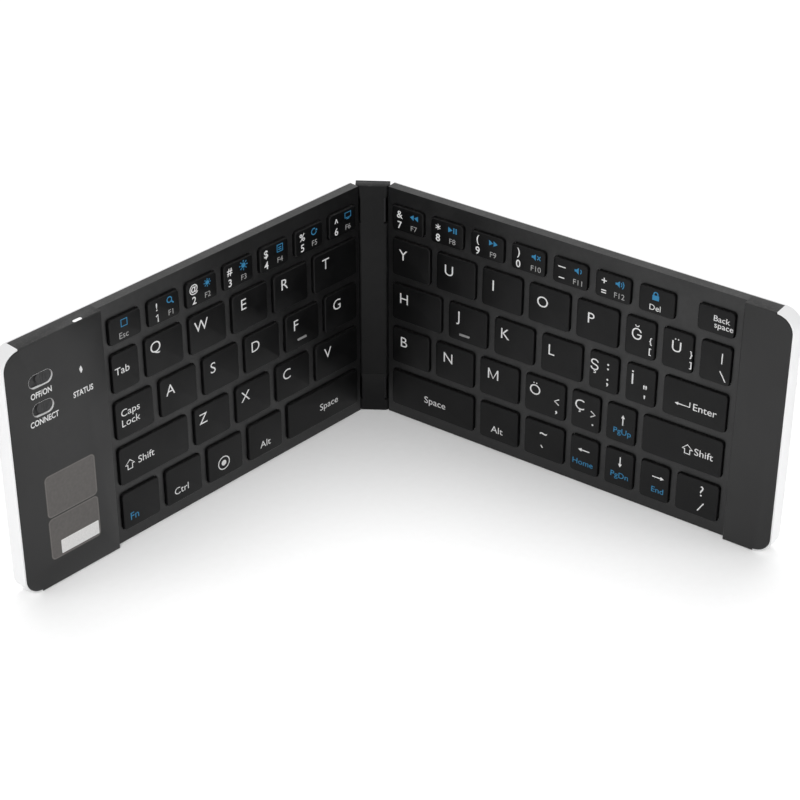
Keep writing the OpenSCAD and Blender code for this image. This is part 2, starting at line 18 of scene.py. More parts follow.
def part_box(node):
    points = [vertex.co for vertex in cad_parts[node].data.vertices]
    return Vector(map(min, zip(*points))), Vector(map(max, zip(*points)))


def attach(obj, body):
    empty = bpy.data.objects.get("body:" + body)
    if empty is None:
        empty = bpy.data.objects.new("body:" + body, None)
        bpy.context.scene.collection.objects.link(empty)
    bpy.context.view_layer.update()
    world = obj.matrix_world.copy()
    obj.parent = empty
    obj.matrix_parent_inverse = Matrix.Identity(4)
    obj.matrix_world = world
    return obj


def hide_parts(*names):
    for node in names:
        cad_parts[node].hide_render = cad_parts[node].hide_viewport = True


bl_info = {
    "name": "Folding Keyboard",
    "version": (1, 0, 0),
    "blender": (4, 5, 0),
    "location": "3D View > Sidebar > Keyboard",
    "description": "Keys, printed signs, trims, finishes and stage of a folding keyboard",
    "category": "Object",
}

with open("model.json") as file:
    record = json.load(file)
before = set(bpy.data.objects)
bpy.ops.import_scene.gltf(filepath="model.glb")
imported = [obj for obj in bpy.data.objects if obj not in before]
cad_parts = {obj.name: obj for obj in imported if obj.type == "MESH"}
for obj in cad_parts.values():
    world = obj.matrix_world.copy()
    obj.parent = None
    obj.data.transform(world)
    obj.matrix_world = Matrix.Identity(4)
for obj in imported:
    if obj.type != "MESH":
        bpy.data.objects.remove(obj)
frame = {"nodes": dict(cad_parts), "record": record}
NODES = frame["nodes"]
BODY_OF = {
    node: body
    for body, members in frame["record"]["behaviour"]["bodies"].items()
    for node in members
}
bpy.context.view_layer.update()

MM = 0.001
# Where the halves stand: the hinge pins, how deep they lie, and each half's turn
PIN_X = 4.1 * MM
PIN_DEPTH = 0.8 * MM
SIDE = {"left": -1, "right": 1, "spine": 0}
TURN = {"left": math.radians(50), "right": math.radians(-31.5), "spine": 0}
# Levels over the front of the deck
KEY_TOP = 1.2 * MM
KEY_SKIRT = -1.0 * MM
END_FRONT = 2.1 * MM
BAND_FRONT = 1.9 * MM
KNOB_CROWN = END_FRONT - 0.55 * MM  # what lies higher on a switch knob is softened
BACK = -4.7 * MM
# Rubber feet: thickness, radius, rounding and width of the rim, depth of the hollow
FOOT_T = 0.6 * MM
FOOT_RADIUS = 3.5 * MM
FOOT_EDGE = 0.35 * MM
FOOT_RIM = 0.9 * MM
FOOT_HOLLOW = 0.1 * MM
# Places along the rows, from the middle of a hinge pin
DECK_END = {"left": 126.6 * MM, "right": 149.4 * MM}
CORNER_START = 161.2 * MM
DEPTH = 97 * MM
FOOT_INSET = 14 * MM
HALF_LENGTH = 165.6 * MM
HINGE_SIDE = 2.6 * MM
CAP_SEAM = 16.5 * MM
# Rounding of the edges that have no setting, and how far an edge may lie from where it is sought
BAND_EDGE = 0.2 * MM
BAR_EDGE = 0.28 * MM
KNOB_EDGE = 0.1 * MM
SEAM_EDGE = 0.12 * MM
SLACK = 0.02 * MM
# The two switch slots: middle along the row, middle from the near edge, length
SLOTS = ((153.6 * MM, 82.5 * MM, 10 * MM), (153.6 * MM, 71.4 * MM, 9 * MM))
SLOT_WIDTH = 5.3 * MM
# The two label plates: middle along the row, near edges and height of each
LABEL_X = 145.4 * MM
LABEL_Y = (10.1 * MM, 27.5 * MM)
LABEL_SIZE = (21.8 * MM, 17 * MM)
# Frame printed on each plate, in millimetres: distance from the edge, corner, width of line
FRAME_INSET = 0.35
FRAME_CORNER = 1.5
FRAME_LINE = 0.3
# Blank paper field: half its size and its corner in millimetres, and its middle
FIELD_HALF = (8.3, 2.8)
FIELD_CORNER = 0.4
FIELD_PLACE = (-LABEL_X + 1.9 * MM, 13.9 * MM)
# The master key cap, which is stretched to each key's size
CAP_WIDTH = 12 * MM
CAP_DEPTH = 9 * MM
# The least gap between two keys of a packed solid
KEY_GAP = 0.2 * MM
# Thickness of printed ink, how far up from the surface its middle lies as a share of that,
# and the share of a text's size that its capitals are high
INK = 0.02 * MM
INK_LIFT = 0.45
CAPITAL_SHARE = 0.69


def letters(row, along, across):
    """Marks of keys that each carry one letter, all as far from the middle along Y."""
    return tuple(((letter, x, along, "letter"),) for letter, x in zip(row, across))


def number_key(above, number, across, icon, function, icon_across):
    """Marks of a number key: sign over number, and icon over function number."""
    return ((above, across, 1.9, "sign"), (number, across, -2.4, "sign"),
            (icon, icon_across, 2.2, "icon"), (function, icon_across, -2.4, "function"))


# Printed signs of the keys, each key's in a line from the hinge outwards: what is printed,
# its middle from the middle of the key in millimetres, and its style
KEY_MARKS = {
    "left_number_keys": (
        number_key("^", "6", -3.35, "dim", "F6", 2.65),
        number_key("%", "5", -3.35, "refresh", "F5", 2.75),
        number_key("$", "4", -3.95, "box", "F4", 2.85),
        number_key("#", "3", -4.15, "bright", "F3", 2.45),
        number_key("@", "2", -3.65, "dark", "F2", 2.65),
        number_key("!", "1", -3.25, "lens", "F1", 2.95),
    ),
    "key_esc": ((("square", -0.35, 2.2, "icon"), ("Esc", -0.75, -2.4, "escape"),),),
    "left_upper_letter_keys": letters("TREWQ", 2.9, (-5.05, -3.05, -3.05, -3.15, -4.05)),
    "key_tab": ((("Tab", -1.55, 0.8, "word"),),),
    "left_home_letter_keys": letters("GFDSA", 2.5, (-2.25, -3.25, -3.45, -3.95, -3.85)),
    "key_caps_lock": ((("Caps", -1.95, 2.2, "word"), ("Lock", -1.95, -1.5, "word"),),),
    "left_lower_letter_keys": letters("VCXZ", 2.8, (-4.85, -3.35, -4.05, -4.55)),
    "key_left_shift": ((("shift", -11.45, 0, "arrow"), ("Shift", -3.95, 0, "word"),),),
    "key_left_space": ((("Space", 2.75, -1.2, "word"),),),
    "key_left_alt": ((("Alt", -0.35, -2.9, "word"),),),
    "key_system": ((("ring", -1.05, -1.6, "arrow"),),),
    "key_ctrl": ((("Ctrl", -1.55, -2.8, "word"),),),
    "key_fn": ((("Fn", -3.55, -2.8, "blue_word"),),),
    "right_number_keys": (
        number_key("&", "7", -3.45, "back", "F7", 2.85),
        number_key("*", "8", -3.85, "play", "F8", 2.45),
        number_key("(", "9", -3.95, "ahead", "F9", 2.65),
        number_key(")", "0", -4.05, "mute", "F10", 3.35),
        number_key("_", "-", -3.35, "quiet", "F11", 3.25),
        number_key("+", "=", -3.55, "loud", "F12", 2.75),
    ),
    "key_delete": ((("lock", -0.45, 2.2, "icon"), ("Del", -0.45, -2.4, "small"),),),
    "key_backspace": ((("Back", 2.2, 1.2, "small"), ("space", 3.1, -2, "small"),),),
    "right_upper_letter_keys": (
        *letters("YUIOP", 1.6, (-3.45, -2.95, -3.65, -2.65, -2.45)),
        (("Ğ", -1.35, 2.1, "letter"), ("{", 4.25, 0.1, "bracket"), ("[", 4.25, -4.1, "bracket")),
        (("Ü", -0.35, 2.1, "letter"), ("}", 5.45, 0.1, "bracket"), ("]", 5.45, -4.1, "bracket")),
        (("|", 2.45, 2.7, "second"), ("\\", 3.15, -4.2, "second")),
    ),
    "right_home_letter_keys": (
        *letters("HJKL", 2.1, (-5.65, -4.25, -3.75, -4.15)),
        (("Ş", -3.75, 1.8, "letter"), (":", 1.75, 3.1, "point"), (";", 1.75, -3.4, "point")),
        (("İ", -3.25, 2.5, "letter"), ("\"", 1.95, -0.1, "point"), ("'", 1.95, -4.1, "point")),
    ),
    "key_enter": ((("enter", -4.55, -1.1, "arrow"), ("Enter", 4.25, -1.1, "word"),),),
    "right_lower_letter_keys": (
        *letters("BNM", 2.2, (-2.95, -2.75, -2.55)),
        (("Ö", -4.15, 2.6, "letter"), ("<", 5.15, 0.1, "point"), (",", 5.15, -4.6, "point")),
        (("Ç", -2.45, 2, "letter"), (">", 3.25, 0.1, "point"), (".", 3.25, -4.3, "point")),
    ),
    "key_up": ((("up", 0.85, 2.2, "arrow"), ("PgUp", 0.85, -3.1, "blue"),),),
    "key_right_shift": ((("shift", 2.35, -0.1, "arrow"), ("Shift", 8.85, -0.1, "word"),),),
    "key_right_space": ((("Space", 1.25, -1.2, "word"),),),
    "key_right_alt": ((("Alt", -0.65, -2.8, "word"),),),
    "key_tilde": ((("~", -0.25, 3.2, "point"), ("`", -0.75, -2.5, "point"),),),
    "key_left": ((("left", -0.15, 2.4, "arrow"), ("Home", -0.35, -3, "blue"),),),
    "key_down": ((("down", 0.45, 3.1, "arrow"), ("PgDn", 0.45, -3, "blue"),),),
    "key_right": ((("right", 1.55, 2.4, "arrow"), ("End", 1.55, -3, "blue"),),),
    "key_slash": ((("?", 1.85, 3.4, "letter"), ("/", 1.85, -3.3, "second"),),),
}

# Styles of the signs: height of a capital, how much bolder and how wide compared with the
# plain letter, and ink
STYLES = {
    "letter": (4.3 * MM, -0.02 * MM, 1, "white_ink"),
    "word": (2.8 * MM, 0, 1.06, "white_ink"),
    "small": (2.2 * MM, 0, 1.04, "white_ink"),
    "sign": (2.9 * MM, 0.05 * MM, 0.95, "white_ink"),
    "second": (2.8 * MM, 0.04 * MM, 1, "white_ink"),
    "point": (3.7 * MM, 0.07 * MM, 1, "white_ink"),
    "bracket": (2.15 * MM, 0.05 * MM, 1.1, "white_ink"),
    "escape": (2.3 * MM, 0, 1, "grey_ink"),
    "function": (2.1 * MM, 0, 1, "grey_ink"),
    "blue_word": (3.0 * MM, 0, 1.04, "blue_ink"),
    "blue": (2.3 * MM, 0, 1.06, "blue_ink"),
    "end": (2.15 * MM, 0.07 * MM, 0.78, "white_ink"),
    "icon": (0, 0, 1, "blue_ink"),
    "arrow": (0, 0, 1, "white_ink"),
}


def arc(x, y, radius, start, stop, count=16):
    """Points on an arc round (x, y), from one angle to another in degrees."""
    turns = [math.radians(start + (stop - start) * i / count) for i in range(count + 1)]
    return [(x + radius * math.cos(t), y + radius * math.sin(t)) for t in turns]


def box_line(x, y):
    """Closed rectangle round the middle, x and y to each side."""
    return [(-x, -y), (x, -y), (x, y), (-x, y), (-x, -y)]


def round_box(x, y, radius):
    """Closed box round the middle with round corners, x and y to each side."""
    corners = ((x, y, 0), (-x, y, 90), (-x, -y, 180), (x, -y, 270))
    points = []
    for corner_x, corner_y, start in corners:
        points += arc(corner_x - math.copysign(radius, corner_x),
                      corner_y - math.copysign(radius, corner_y), radius, start, start + 90, 6)
    return points + points[:1]


def rays(inner, outer):
    """Eight short lines round the middle."""
    ends = zip(arc(0, 0, inner, 0, 315, 7), arc(0, 0, outer, 0, 315, 7))
    return [(list(pair), 0.38) for pair in ends]


SPEAKER = ([(-1.7, -0.45), (-1, -0.45), (0, -1.3), (0, 1.3), (-1, 0.45), (-1.7, 0.45)], 0)

# Drawn signs in millimetres round their middle: lines with their width, or width 0 for a
# filled shape
DRAWN = {
    "1": (([(-0.75, 0.75), (0.1, 1.4), (0.1, -1.45)], 0.5),),
    "M": (([(-2.0, -2.15), (-2.0, 2.15)], 0.58), ([(2.0, -2.15), (2.0, 2.15)], 0.58),
          ([(-1.9, 2.0), (0, -1.9), (1.9, 2.0)], 0.5)),
    "İ": (([(0, -2.15), (0, 2.15)], 0.6), ([(0, 2.75), (0, 3.35)], 0.62)),
    "I": (([(0, -2.15), (0, 2.15)], 0.6),),
    "*": (([(0, -1.2), (0, 1.2)], 0.32), ([(-1.04, -0.6), (1.04, 0.6)], 0.32),
          ([(-1.04, 0.6), (1.04, -0.6)], 0.32)),
    ".": ((arc(0, 0, 0.4, 0, 360, 12), 0),),
    "`": (([(-0.4, 0.5), (0.4, -0.5)], 0.45),),
    "<": (([(0.95, 1.25), (-0.95, 0), (0.95, -1.25)], 0.42),),
    ">": (([(-0.95, 1.25), (0.95, 0), (-0.95, -1.25)], 0.42),),
    "_": (([(-1.6, -1.3), (1.6, -1.3)], 0.4),),
    "-": (([(-1.2, 0), (1.2, 0)], 0.44),),
    "/": (([(-1.15, -1.9), (1.15, 1.9)], 0.42),),
    "\\": (([(-1.15, 1.9), (1.15, -1.9)], 0.42),),
    "|": (([(0, -2.1), (0, 2.1)], 0.4),),
    "square": ((box_line(1.3, 1.3), 0.42),),
    "lens": ((arc(-0.35, 0.35, 1.05, 0, 360), 0.42), ([(0.45, -0.4), (1.5, -1.45)], 0.5)),
    "dark": ((arc(0, 0, 0.85, 0, 360), 0), *rays(1.1, 1.6)),
    "bright": ((arc(0, 0, 1.0, 0, 360), 0), *rays(1.3, 2.0)),
    "box": ((box_line(1.35, 1.35), 0.42), ([(-0.7, 0.3), (0.7, 0.3)], 0.4),
            ([(-0.7, -0.5), (0.7, -0.5)], 0.4)),
    "refresh": ((arc(0, 0, 1.2, 60, 350, 20), 0.42),
                ([(1.8, 0.1), (0.6, 0.1), (1.25, 0.95)], 0)),
    "dim": ((box_line(1.5, 1.0), 0.4), ([(-0.7, -1.5), (0.7, -1.5)], 0.38)),
    "back": (([(-1.8, 0), (-0.1, -1.1), (-0.1, 1.1)], 0), ([(0.1, 0), (1.8, -1.1), (1.8, 1.1)], 0)),
    "ahead": (([(1.8, 0), (0.1, 1.1), (0.1, -1.1)], 0),
              ([(-0.1, 0), (-1.8, 1.1), (-1.8, -1.1)], 0)),
    "play": (([(-1.9, 1.1), (-1.9, -1.1), (-0.1, 0)], 0), ([(0.5, -1.1), (0.5, 1.1)], 0.5),
             ([(1.5, -1.1), (1.5, 1.1)], 0.5)),
    "mute": (SPEAKER, ([(0.6, 0.8), (1.9, -0.8)], 0.36), ([(0.6, -0.8), (1.9, 0.8)], 0.36)),
    "quiet": (SPEAKER, (arc(-0.2, 0, 1.2, -45, 45, 8), 0.36)),
    "loud": (SPEAKER, (arc(-0.3, 0, 1.1, -45, 45, 8), 0.34), (arc(-0.3, 0, 1.9, -45, 45, 8), 0.34)),
    "lock": (([(-1.3, -1.6), (1.3, -1.6), (1.3, 0.3), (-1.3, 0.3)], 0),
             ([(-0.8, 0.2), *arc(0, 0.7, 0.8, 180, 0, 8), (0.8, 0.2)], 0.42)),
    "shift": (([(-1.05, -1.85), (1.05, -1.85), (1.05, 0), (2.05, 0), (0, 1.9), (-2.05, 0),
                (-1.05, 0), (-1.05, -1.85)], 0.5),),
    "enter": (([(2.9, 1.5), (2.9, -0.5), (-2, -0.5)], 0.42),
              ([(-3.1, -0.5), (-1.6, -1.15), (-1.6, 0.15)], 0)),
    "ring": ((arc(0, 0, 2.65, 0, 360, 28), 0.42), (arc(0, 0, 1.15, 0, 360), 0)),
    "up": (([(0, -2.1), (0, 1.2)], 0.45), ([(-0.75, 0.9), (0.75, 0.9), (0, 2.3)], 0)),
    "down": (([(0, 2.1), (0, -1.2)], 0.45), ([(0.75, -0.9), (-0.75, -0.9), (0, -2.3)], 0)),
    "left": (([(2.3, 0), (-1.3, 0)], 0.45), ([(-1, 0.75), (-2.5, 0), (-1, -0.75)], 0)),
    "right": (([(-2.3, 0), (1.3, 0)], 0.45), ([(1, -0.75), (2.5, 0), (1, 0.75)], 0)),
}
# Words printed on the left end: what is printed, and its middle
END_WORDS = (
    ("OFF/ON", 153.85 * MM, 77.2 * MM),
    ("CONNECT", 153.45 * MM, 66.75 * MM),
    ("STATUS", 136.7 * MM, 70.35 * MM),
)
# Raised bars on the home keys: width and height, and for each its node, key from the hinge
# and middle from the key's middle
BAR_WIDTH = 0.8 * MM
BAR_HEIGHT = 0.6 * MM
HOME_BARS = (
    ("left_home_letter_keys", 1, -0.45 * MM, -3.9 * MM),
    ("right_home_letter_keys", 1, -1.2 * MM, -4.6 * MM),
)


def size_setting(name, description, value, low, high):
    """A length, given in millimetres."""
    return bpy.props.FloatProperty(
        name=name, description=description, default=value * MM, min=low * MM, max=high * MM,
        subtype="DISTANCE", unit="LENGTH")


class KeyboardSizes(bpy.types.PropertyGroup):
    """Sizes of the details that the packed solids leave plain."""

    key_corner: size_setting("Key Corner", "Radius of a key cap's corners", 1.4, 0.2, 3)
    key_edge: size_setting("Key Edge", "Rounding round a key cap's top", 0.35, 0.05, 0.8)
    key_wall: size_setting("Key Wall", "Thickness of a key cap's walls", 0.9, 0.4, 1.5)
    end_edge: size_setting("End Edge", "Rounding round the raised ends", 0.35, 0.05, 1)
    shell_edge: size_setting(
        "Shell Edge", "Rounding along the back of the metal shells", 0.25, 0.05, 0.4)
    spine_edge: size_setting("Spine Edge", "Rounding at the ends of the hinge spine", 0.3, 0.05, 1)
    bar_length: size_setting("Home Bar", "Length of the raised bars on the home keys", 4.6, 2, 8)
    # The pale slot liners are a painted highlight: their white stands in for the light on the lips
    # of the switch slots
    slot_liner: size_setting(
        "Slot Liner", "Thickness of the pale liners of the switch slots", 0.08, 0.04, 0.25)


def colour_setting(name, description, value):
    """A colour, as linear values."""
    return bpy.props.FloatVectorProperty(
        name=name, description=description, default=value, min=0, max=1, size=3,
        subtype="COLOR")


class KeyboardColours(bpy.types.PropertyGroup):
    """Colours of the finishes, as linear values."""

    keys: colour_setting("Keys", "Plastic of the key caps", (0.0025, 0.0025, 0.0027))
    deck: colour_setting("Deck", "Plastic of the two decks", (0.003, 0.003, 0.0032))
    ends: colour_setting("Ends", "Plastic of the raised ends", (0.003, 0.003, 0.0032))
    spine: colour_setting("Spine", "Plastic of the hinge spine", (0.003, 0.003, 0.0032))
    shell: colour_setting("Shell", "Metal of the shells", (0.85, 0.85, 0.855))
    white_ink: colour_setting("White Ink", "Ink of the letters", (0.9, 0.9, 0.9))
    blue_ink: colour_setting("Blue Ink", "Ink of the second functions", (0.045, 0.25, 0.47))
    grey_ink: colour_setting("Grey Ink", "Ink of the function numbers", (0.42, 0.42, 0.42))
    label: colour_setting("Labels", "Film of the label plates", (0.11, 0.103, 0.098))


def light_setting(name, description, value, high):
    """The strength of a light."""
    return bpy.props.FloatProperty(
        name=name, description=description, default=value, min=0, max=high)


class KeyboardLight(bpy.types.PropertyGroup):
    """Strength of the lights. At 1 a lamp alone lights what faces it to its own colour."""

    above: light_setting("Above", "Large soft lamp over the keyboard", 0.55, 3)
    left: light_setting("Left", "Soft lamp at the left", 0.2, 3)
    right: light_setting("Right", "Soft lamp at the right", 0.2, 3)
    front: light_setting("Front", "Soft lamp over the typist", 0.55, 3)
    room: light_setting("Room", "Light of the pale room all round", 0.3, 2)


# Modelling helpers

def only(piece):
    """Selects a piece alone and makes it active."""
    bpy.ops.object.select_all(action="DESELECT")
    piece.select_set(True)
    bpy.context.view_layer.objects.active = piece


def start_piece(operator, **values):
    """Adds a primitive with nothing else selected, and returns it."""
    bpy.ops.object.select_all(action="DESELECT")
    operator(**values)
    bpy.ops.object.transform_apply(location=True, rotation=True, scale=True)
    return bpy.context.object


def edit(piece):
    only(piece)
    bpy.ops.object.mode_set(mode="EDIT")


def stop_edit():
    bpy.ops.object.mode_set(mode="OBJECT")


def pick(kind, wanted):
    """Selects the vertices, edges or faces that are wanted, and returns how many."""
    bpy.ops.mesh.select_mode(type=kind)
    bpy.ops.mesh.select_all(action="DESELECT")
    mesh = bmesh.from_edit_mesh(bpy.context.object.data)
    mesh.normal_update()
    parts = {"VERT": mesh.verts, "EDGE": mesh.edges, "FACE": mesh.faces}[kind]
    found = [part for part in parts if wanted(part)]
    for part in found:
        part.select = True
    mesh.select_flush_mode()
    bmesh.update_edit_mesh(bpy.context.object.data)
    return len(found)


def twin(piece, name):
    """A copy of a piece with its own mesh."""
    made = bpy.data.objects.new(name, piece.data.copy())
    bpy.context.scene.collection.objects.link(made)
    return made


def join(pieces, name):
    """Joins pieces into the first of them."""
    only(pieces[0])
    for piece in pieces[1:]:
        piece.select_set(True)
    if len(pieces) > 1:
        bpy.ops.object.join()
    pieces[0].name = name
    pieces[0].data.name = name
    return pieces[0]


def half_matrix(half):
    """Turns what lies flat in front of the typist into its place in the standing keyboard."""
    depth = PIN_DEPTH if SIDE[half] else 0
    return (Matrix.Translation((SIDE[half] * PIN_X, 0, 0))
            @ Matrix.Rotation(TURN[half], 4, "Z")
            @ Matrix.Translation((0, -depth, 0))
            @ Matrix.Rotation(math.radians(90), 4, "X"))


SMOOTH_UP_TO = math.radians(35)


def set_up(piece, half, body, finish=None, replaces=()):
    """Stands a finished piece in its place and says what it rides on and stands for."""
    only(piece)
    bpy.ops.object.shade_smooth_by_angle(angle=SMOOTH_UP_TO)
    piece.matrix_world = half_matrix(half) @ piece.matrix_world
    bpy.ops.object.transform_apply(location=True, rotation=True, scale=True)
    if finish:
        piece.data.materials.clear()
        piece.data.materials.append(finish_of(finish))
    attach(piece, body)
    if replaces:
        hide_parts(*replaces)


def lying_copy(node, half, name):
    """A merged copy of a packed solid, lying flat, ready to have its edges softened."""
    piece = twin(NODES[node], name)
    piece.hide_render = piece.hide_viewport = False
    piece.parent = None
    piece.data.transform(half_matrix(half).inverted())
    only(piece)
    bpy.ops.mesh.customdata_custom_splitnormals_clear()
    edit(piece)
    bpy.ops.mesh.select_all(action="SELECT")
    bpy.ops.mesh.remove_doubles(threshold=0.002 * MM)
    bpy.ops.mesh.dissolve_limited(angle_limit=math.radians(0.5))
    stop_edit()
    return piece


def soften(piece, wanted, width, segments=2):
    """Rounds the edges that are wanted."""
    edit(piece)
    found = pick("EDGE", wanted)
    if not found:
        raise RuntimeError(f"{piece.name} has no such edge to round")
    bpy.ops.mesh.bevel(offset=width, segments=segments, affect="EDGES", clamp_overlap=True)
    stop_edit()


def level(edge, height):
    """Whether an edge lies at a height over the deck's front."""
    return all(abs(end.co.z - height) < SLACK for end in edge.verts)


def is_rim(edge):
    """Whether an edge is a real corner between two faces, not a line across a flat one."""
    return len(edge.link_faces) == 2 and edge.calc_face_angle(0) > math.radians(30)


# Finishes. Each shared effect is one node group, placed with its own values.

def new_group(name, inputs, outputs):
    """An empty node group with named number inputs and outputs, and its two end nodes."""
    group = bpy.data.node_groups.new(name, "ShaderNodeTree")
    for label, value in inputs:
        group.interface.new_socket(
            label, in_out="INPUT", socket_type="NodeSocketFloat").default_value = value
    for label, kind in outputs:
        group.interface.new_socket(label, in_out="OUTPUT", socket_type=kind)
    return group, group.nodes.new("NodeGroupInput"), group.nodes.new("NodeGroupOutput")


def feed(tree, socket, value):
    """Sets an input's value, or joins the socket that is given for it."""
    if isinstance(value, bpy.types.NodeSocket):
        tree.links.new(value, socket)
    else:
        socket.default_value = value


def add_node(tree, kind, **values):
    """Adds a node, and sets or joins what is named."""
    made = tree.nodes.new(kind)
    for key, value in values.items():
        if hasattr(made, key):
            setattr(made, key, value)
        else:
            feed(tree, made.inputs[key.replace("_", " ")], value)
    return made


def worked_out(tree, operation, first, second):
    """Result of a calculation with two numbers or sockets."""
    made = add_node(tree, "ShaderNodeMath", operation=operation)
    for socket, value in zip(made.inputs, (first, second)):
        feed(tree, socket, value)
    return made.outputs[0]


def times(tree, first, second):
    return worked_out(tree, "MULTIPLY", first, second)


def noise(tree, millimetres, detail=2.0, stretch=(1, 1, 1)):
    """Noise whose features are about so many millimetres, on the piece's own coordinates."""
    where = add_node(tree, "ShaderNodeTexCoord").outputs["Object"]
    if stretch != (1, 1, 1):
        where = add_node(tree, "ShaderNodeMapping", Vector=where, Scale=stretch).outputs[0]
    made = add_node(tree, "ShaderNodeTexNoise", Vector=where, Detail=detail)
    if isinstance(millimetres, bpy.types.NodeSocket):
        scale = worked_out(tree, "DIVIDE", 1 / MM, millimetres)
    else:
        scale = 1 / (MM * millimetres)
    feed(tree, made.inputs["Scale"], scale)
    return made


def spread(tree, value, low, high, to_low=0.0, to_high=1.0):
    """Maps a value from low..high to a new range, held at its ends."""
    made = add_node(tree, "ShaderNodeMapRange", clamp=True, Value=value, From_Min=low,
                    From_Max=high, To_Min=to_low, To_Max=to_high)
    return made.outputs["Result"]


def blended(tree, share, first, second):
    """A colour between two, each a colour or a socket."""
    made = add_node(tree, "ShaderNodeMix", data_type="RGBA")
    tree.links.new(share, made.inputs[0])
    for socket, value in ((made.inputs[6], first), (made.inputs[7], second)):
        feed(tree, socket, value if isinstance(value, bpy.types.NodeSocket) else (*value[:3], 1))
    return made.outputs[2]


def make_grain_group():
    """Fine spark-eroded grain of moulded plastic, or the blast of blasted metal."""
    group, start, end = new_group(
        "Surface Grain", (("Grain Size", 0.3), ("Depth", 0.3)),
        (("Grain", "NodeSocketFloat"), ("Normal", "NodeSocketVector")))
    fine = noise(group, start.outputs["Grain Size"], 3.0)
    bump = add_node(group, "ShaderNodeBump", Height=fine.outputs["Fac"],
                    Strength=start.outputs["Depth"], Distance=0.03 * MM)
    group.links.new(fine.outputs["Fac"], end.inputs["Grain"])
    group.links.new(bump.outputs["Normal"], end.inputs["Normal"])


def make_handling_group():
    """Broad, faint patches where hands have polished or dulled a surface."""
    group, start, end = new_group(
        "Handling Marks", (("Patch Size", 14.0),), (("Marks", "NodeSocketFloat"),))
    broad = noise(group, start.outputs["Patch Size"], 5.0)
    group.links.new(spread(group, broad.outputs["Fac"], 0.38, 0.66), end.inputs["Marks"])


def make_wear_group():
    """Outer edges, broken up, where the surface has rubbed pale."""
    group, start, end = new_group(
        "Edge Wear", (("Amount", 0.3),), (("Worn", "NodeSocketFloat"),))
    edges = add_node(group, "ShaderNodeNewGeometry").outputs["Pointiness"]
    broken = spread(group, noise(group, 2.5, 4.0).outputs["Fac"], 0.42, 0.62)
    worn = times(group, spread(group, edges, 0.53, 0.62), broken)
    group.links.new(times(group, worn, start.outputs["Amount"]), end.inputs["Worn"])


def make_dust_group():
    """Specks of dust on what faces up."""
    group, start, end = new_group(
        "Settled Dust", (("Amount", 0.1),), (("Dust", "NodeSocketFloat"),))
    facing = add_node(group, "ShaderNodeSeparateXYZ",
                      Vector=add_node(group, "ShaderNodeNewGeometry").outputs["Normal"])
    up = spread(group, facing.outputs["Z"], 0.4, 1.0)
    specks = spread(group, noise(group, 0.7, 3.0).outputs["Fac"], 0.5, 0.72)
    group.links.new(times(group, times(group, up, specks), start.outputs["Amount"]),
                    end.inputs["Dust"])


def effect(tree, name, **values):
    """Places a shared effect in a material."""
    made = tree.nodes.new("ShaderNodeGroup")
    made.node_tree = bpy.data.node_groups[name]
    for key, value in values.items():
        made.inputs[key.replace("_", " ")].default_value = value
    return made


def finish_of(name):
    """A finish by name. The packed solids' plain materials keep the bare names."""
    return bpy.data.materials[f"finish_{name}"]


def new_finish(name, **shader_values):
    """A material with a bare shader, its constants set on the shader itself."""
    material = bpy.data.materials.new(f"finish_{name}")
    material.use_nodes = True
    shader = material.node_tree.nodes["Principled BSDF"]
    for key, value in shader_values.items():
        shader.inputs[key.replace("_", " ")].default_value = value
    return material.node_tree, shader


def dress(tree, shader, colour, roughness, normal=None):
    """Joins a finish's colour, roughness and normal to its shader."""
    for label, value in (("Base Color", colour), ("Roughness", roughness), ("Normal", normal)):
        if value is not None:
            tree.links.new(value, shader.inputs[label])


def shades(colour, less, more):
    """A colour made darker or lighter by two shares."""
    return [tuple(channel * k for channel in colour) for k in (less, more)]


def plastic(name, colour, rough=0.6, grain=0.3, depth=0.35, patch=14.0, wear=0.25, dust=0.05,
            specular=0.25):
    """Moulded plastic: grained, faintly handled, rubbed at its edges and a little dusty."""
    tree, shader = new_finish(name, Specular_IOR_Level=specular)
    skin = effect(tree, "Surface Grain", Grain_Size=grain, Depth=depth)
    marks = effect(tree, "Handling Marks", Patch_Size=patch).outputs[0]
    worn = effect(tree, "Edge Wear", Amount=wear).outputs[0]
    dusty = effect(tree, "Settled Dust", Amount=dust).outputs[0]
    base = blended(tree, spread(tree, skin.outputs["Grain"], 0.3, 0.7), *shades(colour, 0.86, 1.14))
    base = blended(tree, times(tree, marks, 0.35), base, shades(colour, 1, 1.25)[1])
    base = blended(tree, worn, base, tuple(channel + 0.04 for channel in colour))
    base = blended(tree, dusty, base, (0.42, 0.40, 0.37))
    dress(tree, shader, base, spread(tree, marks, 0, 1, rough + 0.05, rough - 0.09),
          skin.outputs["Normal"])


def metal(name, colour, rough=0.4, grain=0.15, depth=0.3, stretch=None, marked=0.1):
    """Blasted metal, or brushed metal where its grain is stretched one way."""
    tree, shader = new_finish(name, Metallic=1.0)
    marks = effect(tree, "Handling Marks", Patch_Size=22.0).outputs[0]
    skin = effect(tree, "Surface Grain", Grain_Size=grain, Depth=depth)
    fine, normal = skin.outputs["Grain"], skin.outputs["Normal"]
    if stretch:
        lines = noise(tree, grain, 4.0, stretch)
        fine = lines.outputs["Fac"]
        normal = add_node(tree, "ShaderNodeBump", Height=fine, Strength=depth,
                          Distance=0.02 * MM).outputs["Normal"]
    base = blended(tree, spread(tree, fine, 0.3, 0.7), *shades(colour, 0.93, 1.0))
    base = blended(tree, times(tree, marks, marked), base, shades(colour, 1, 0.88)[1])
    dress(tree, shader, base, spread(tree, marks, 0, 1, rough - 0.02, rough + marked / 2), normal)


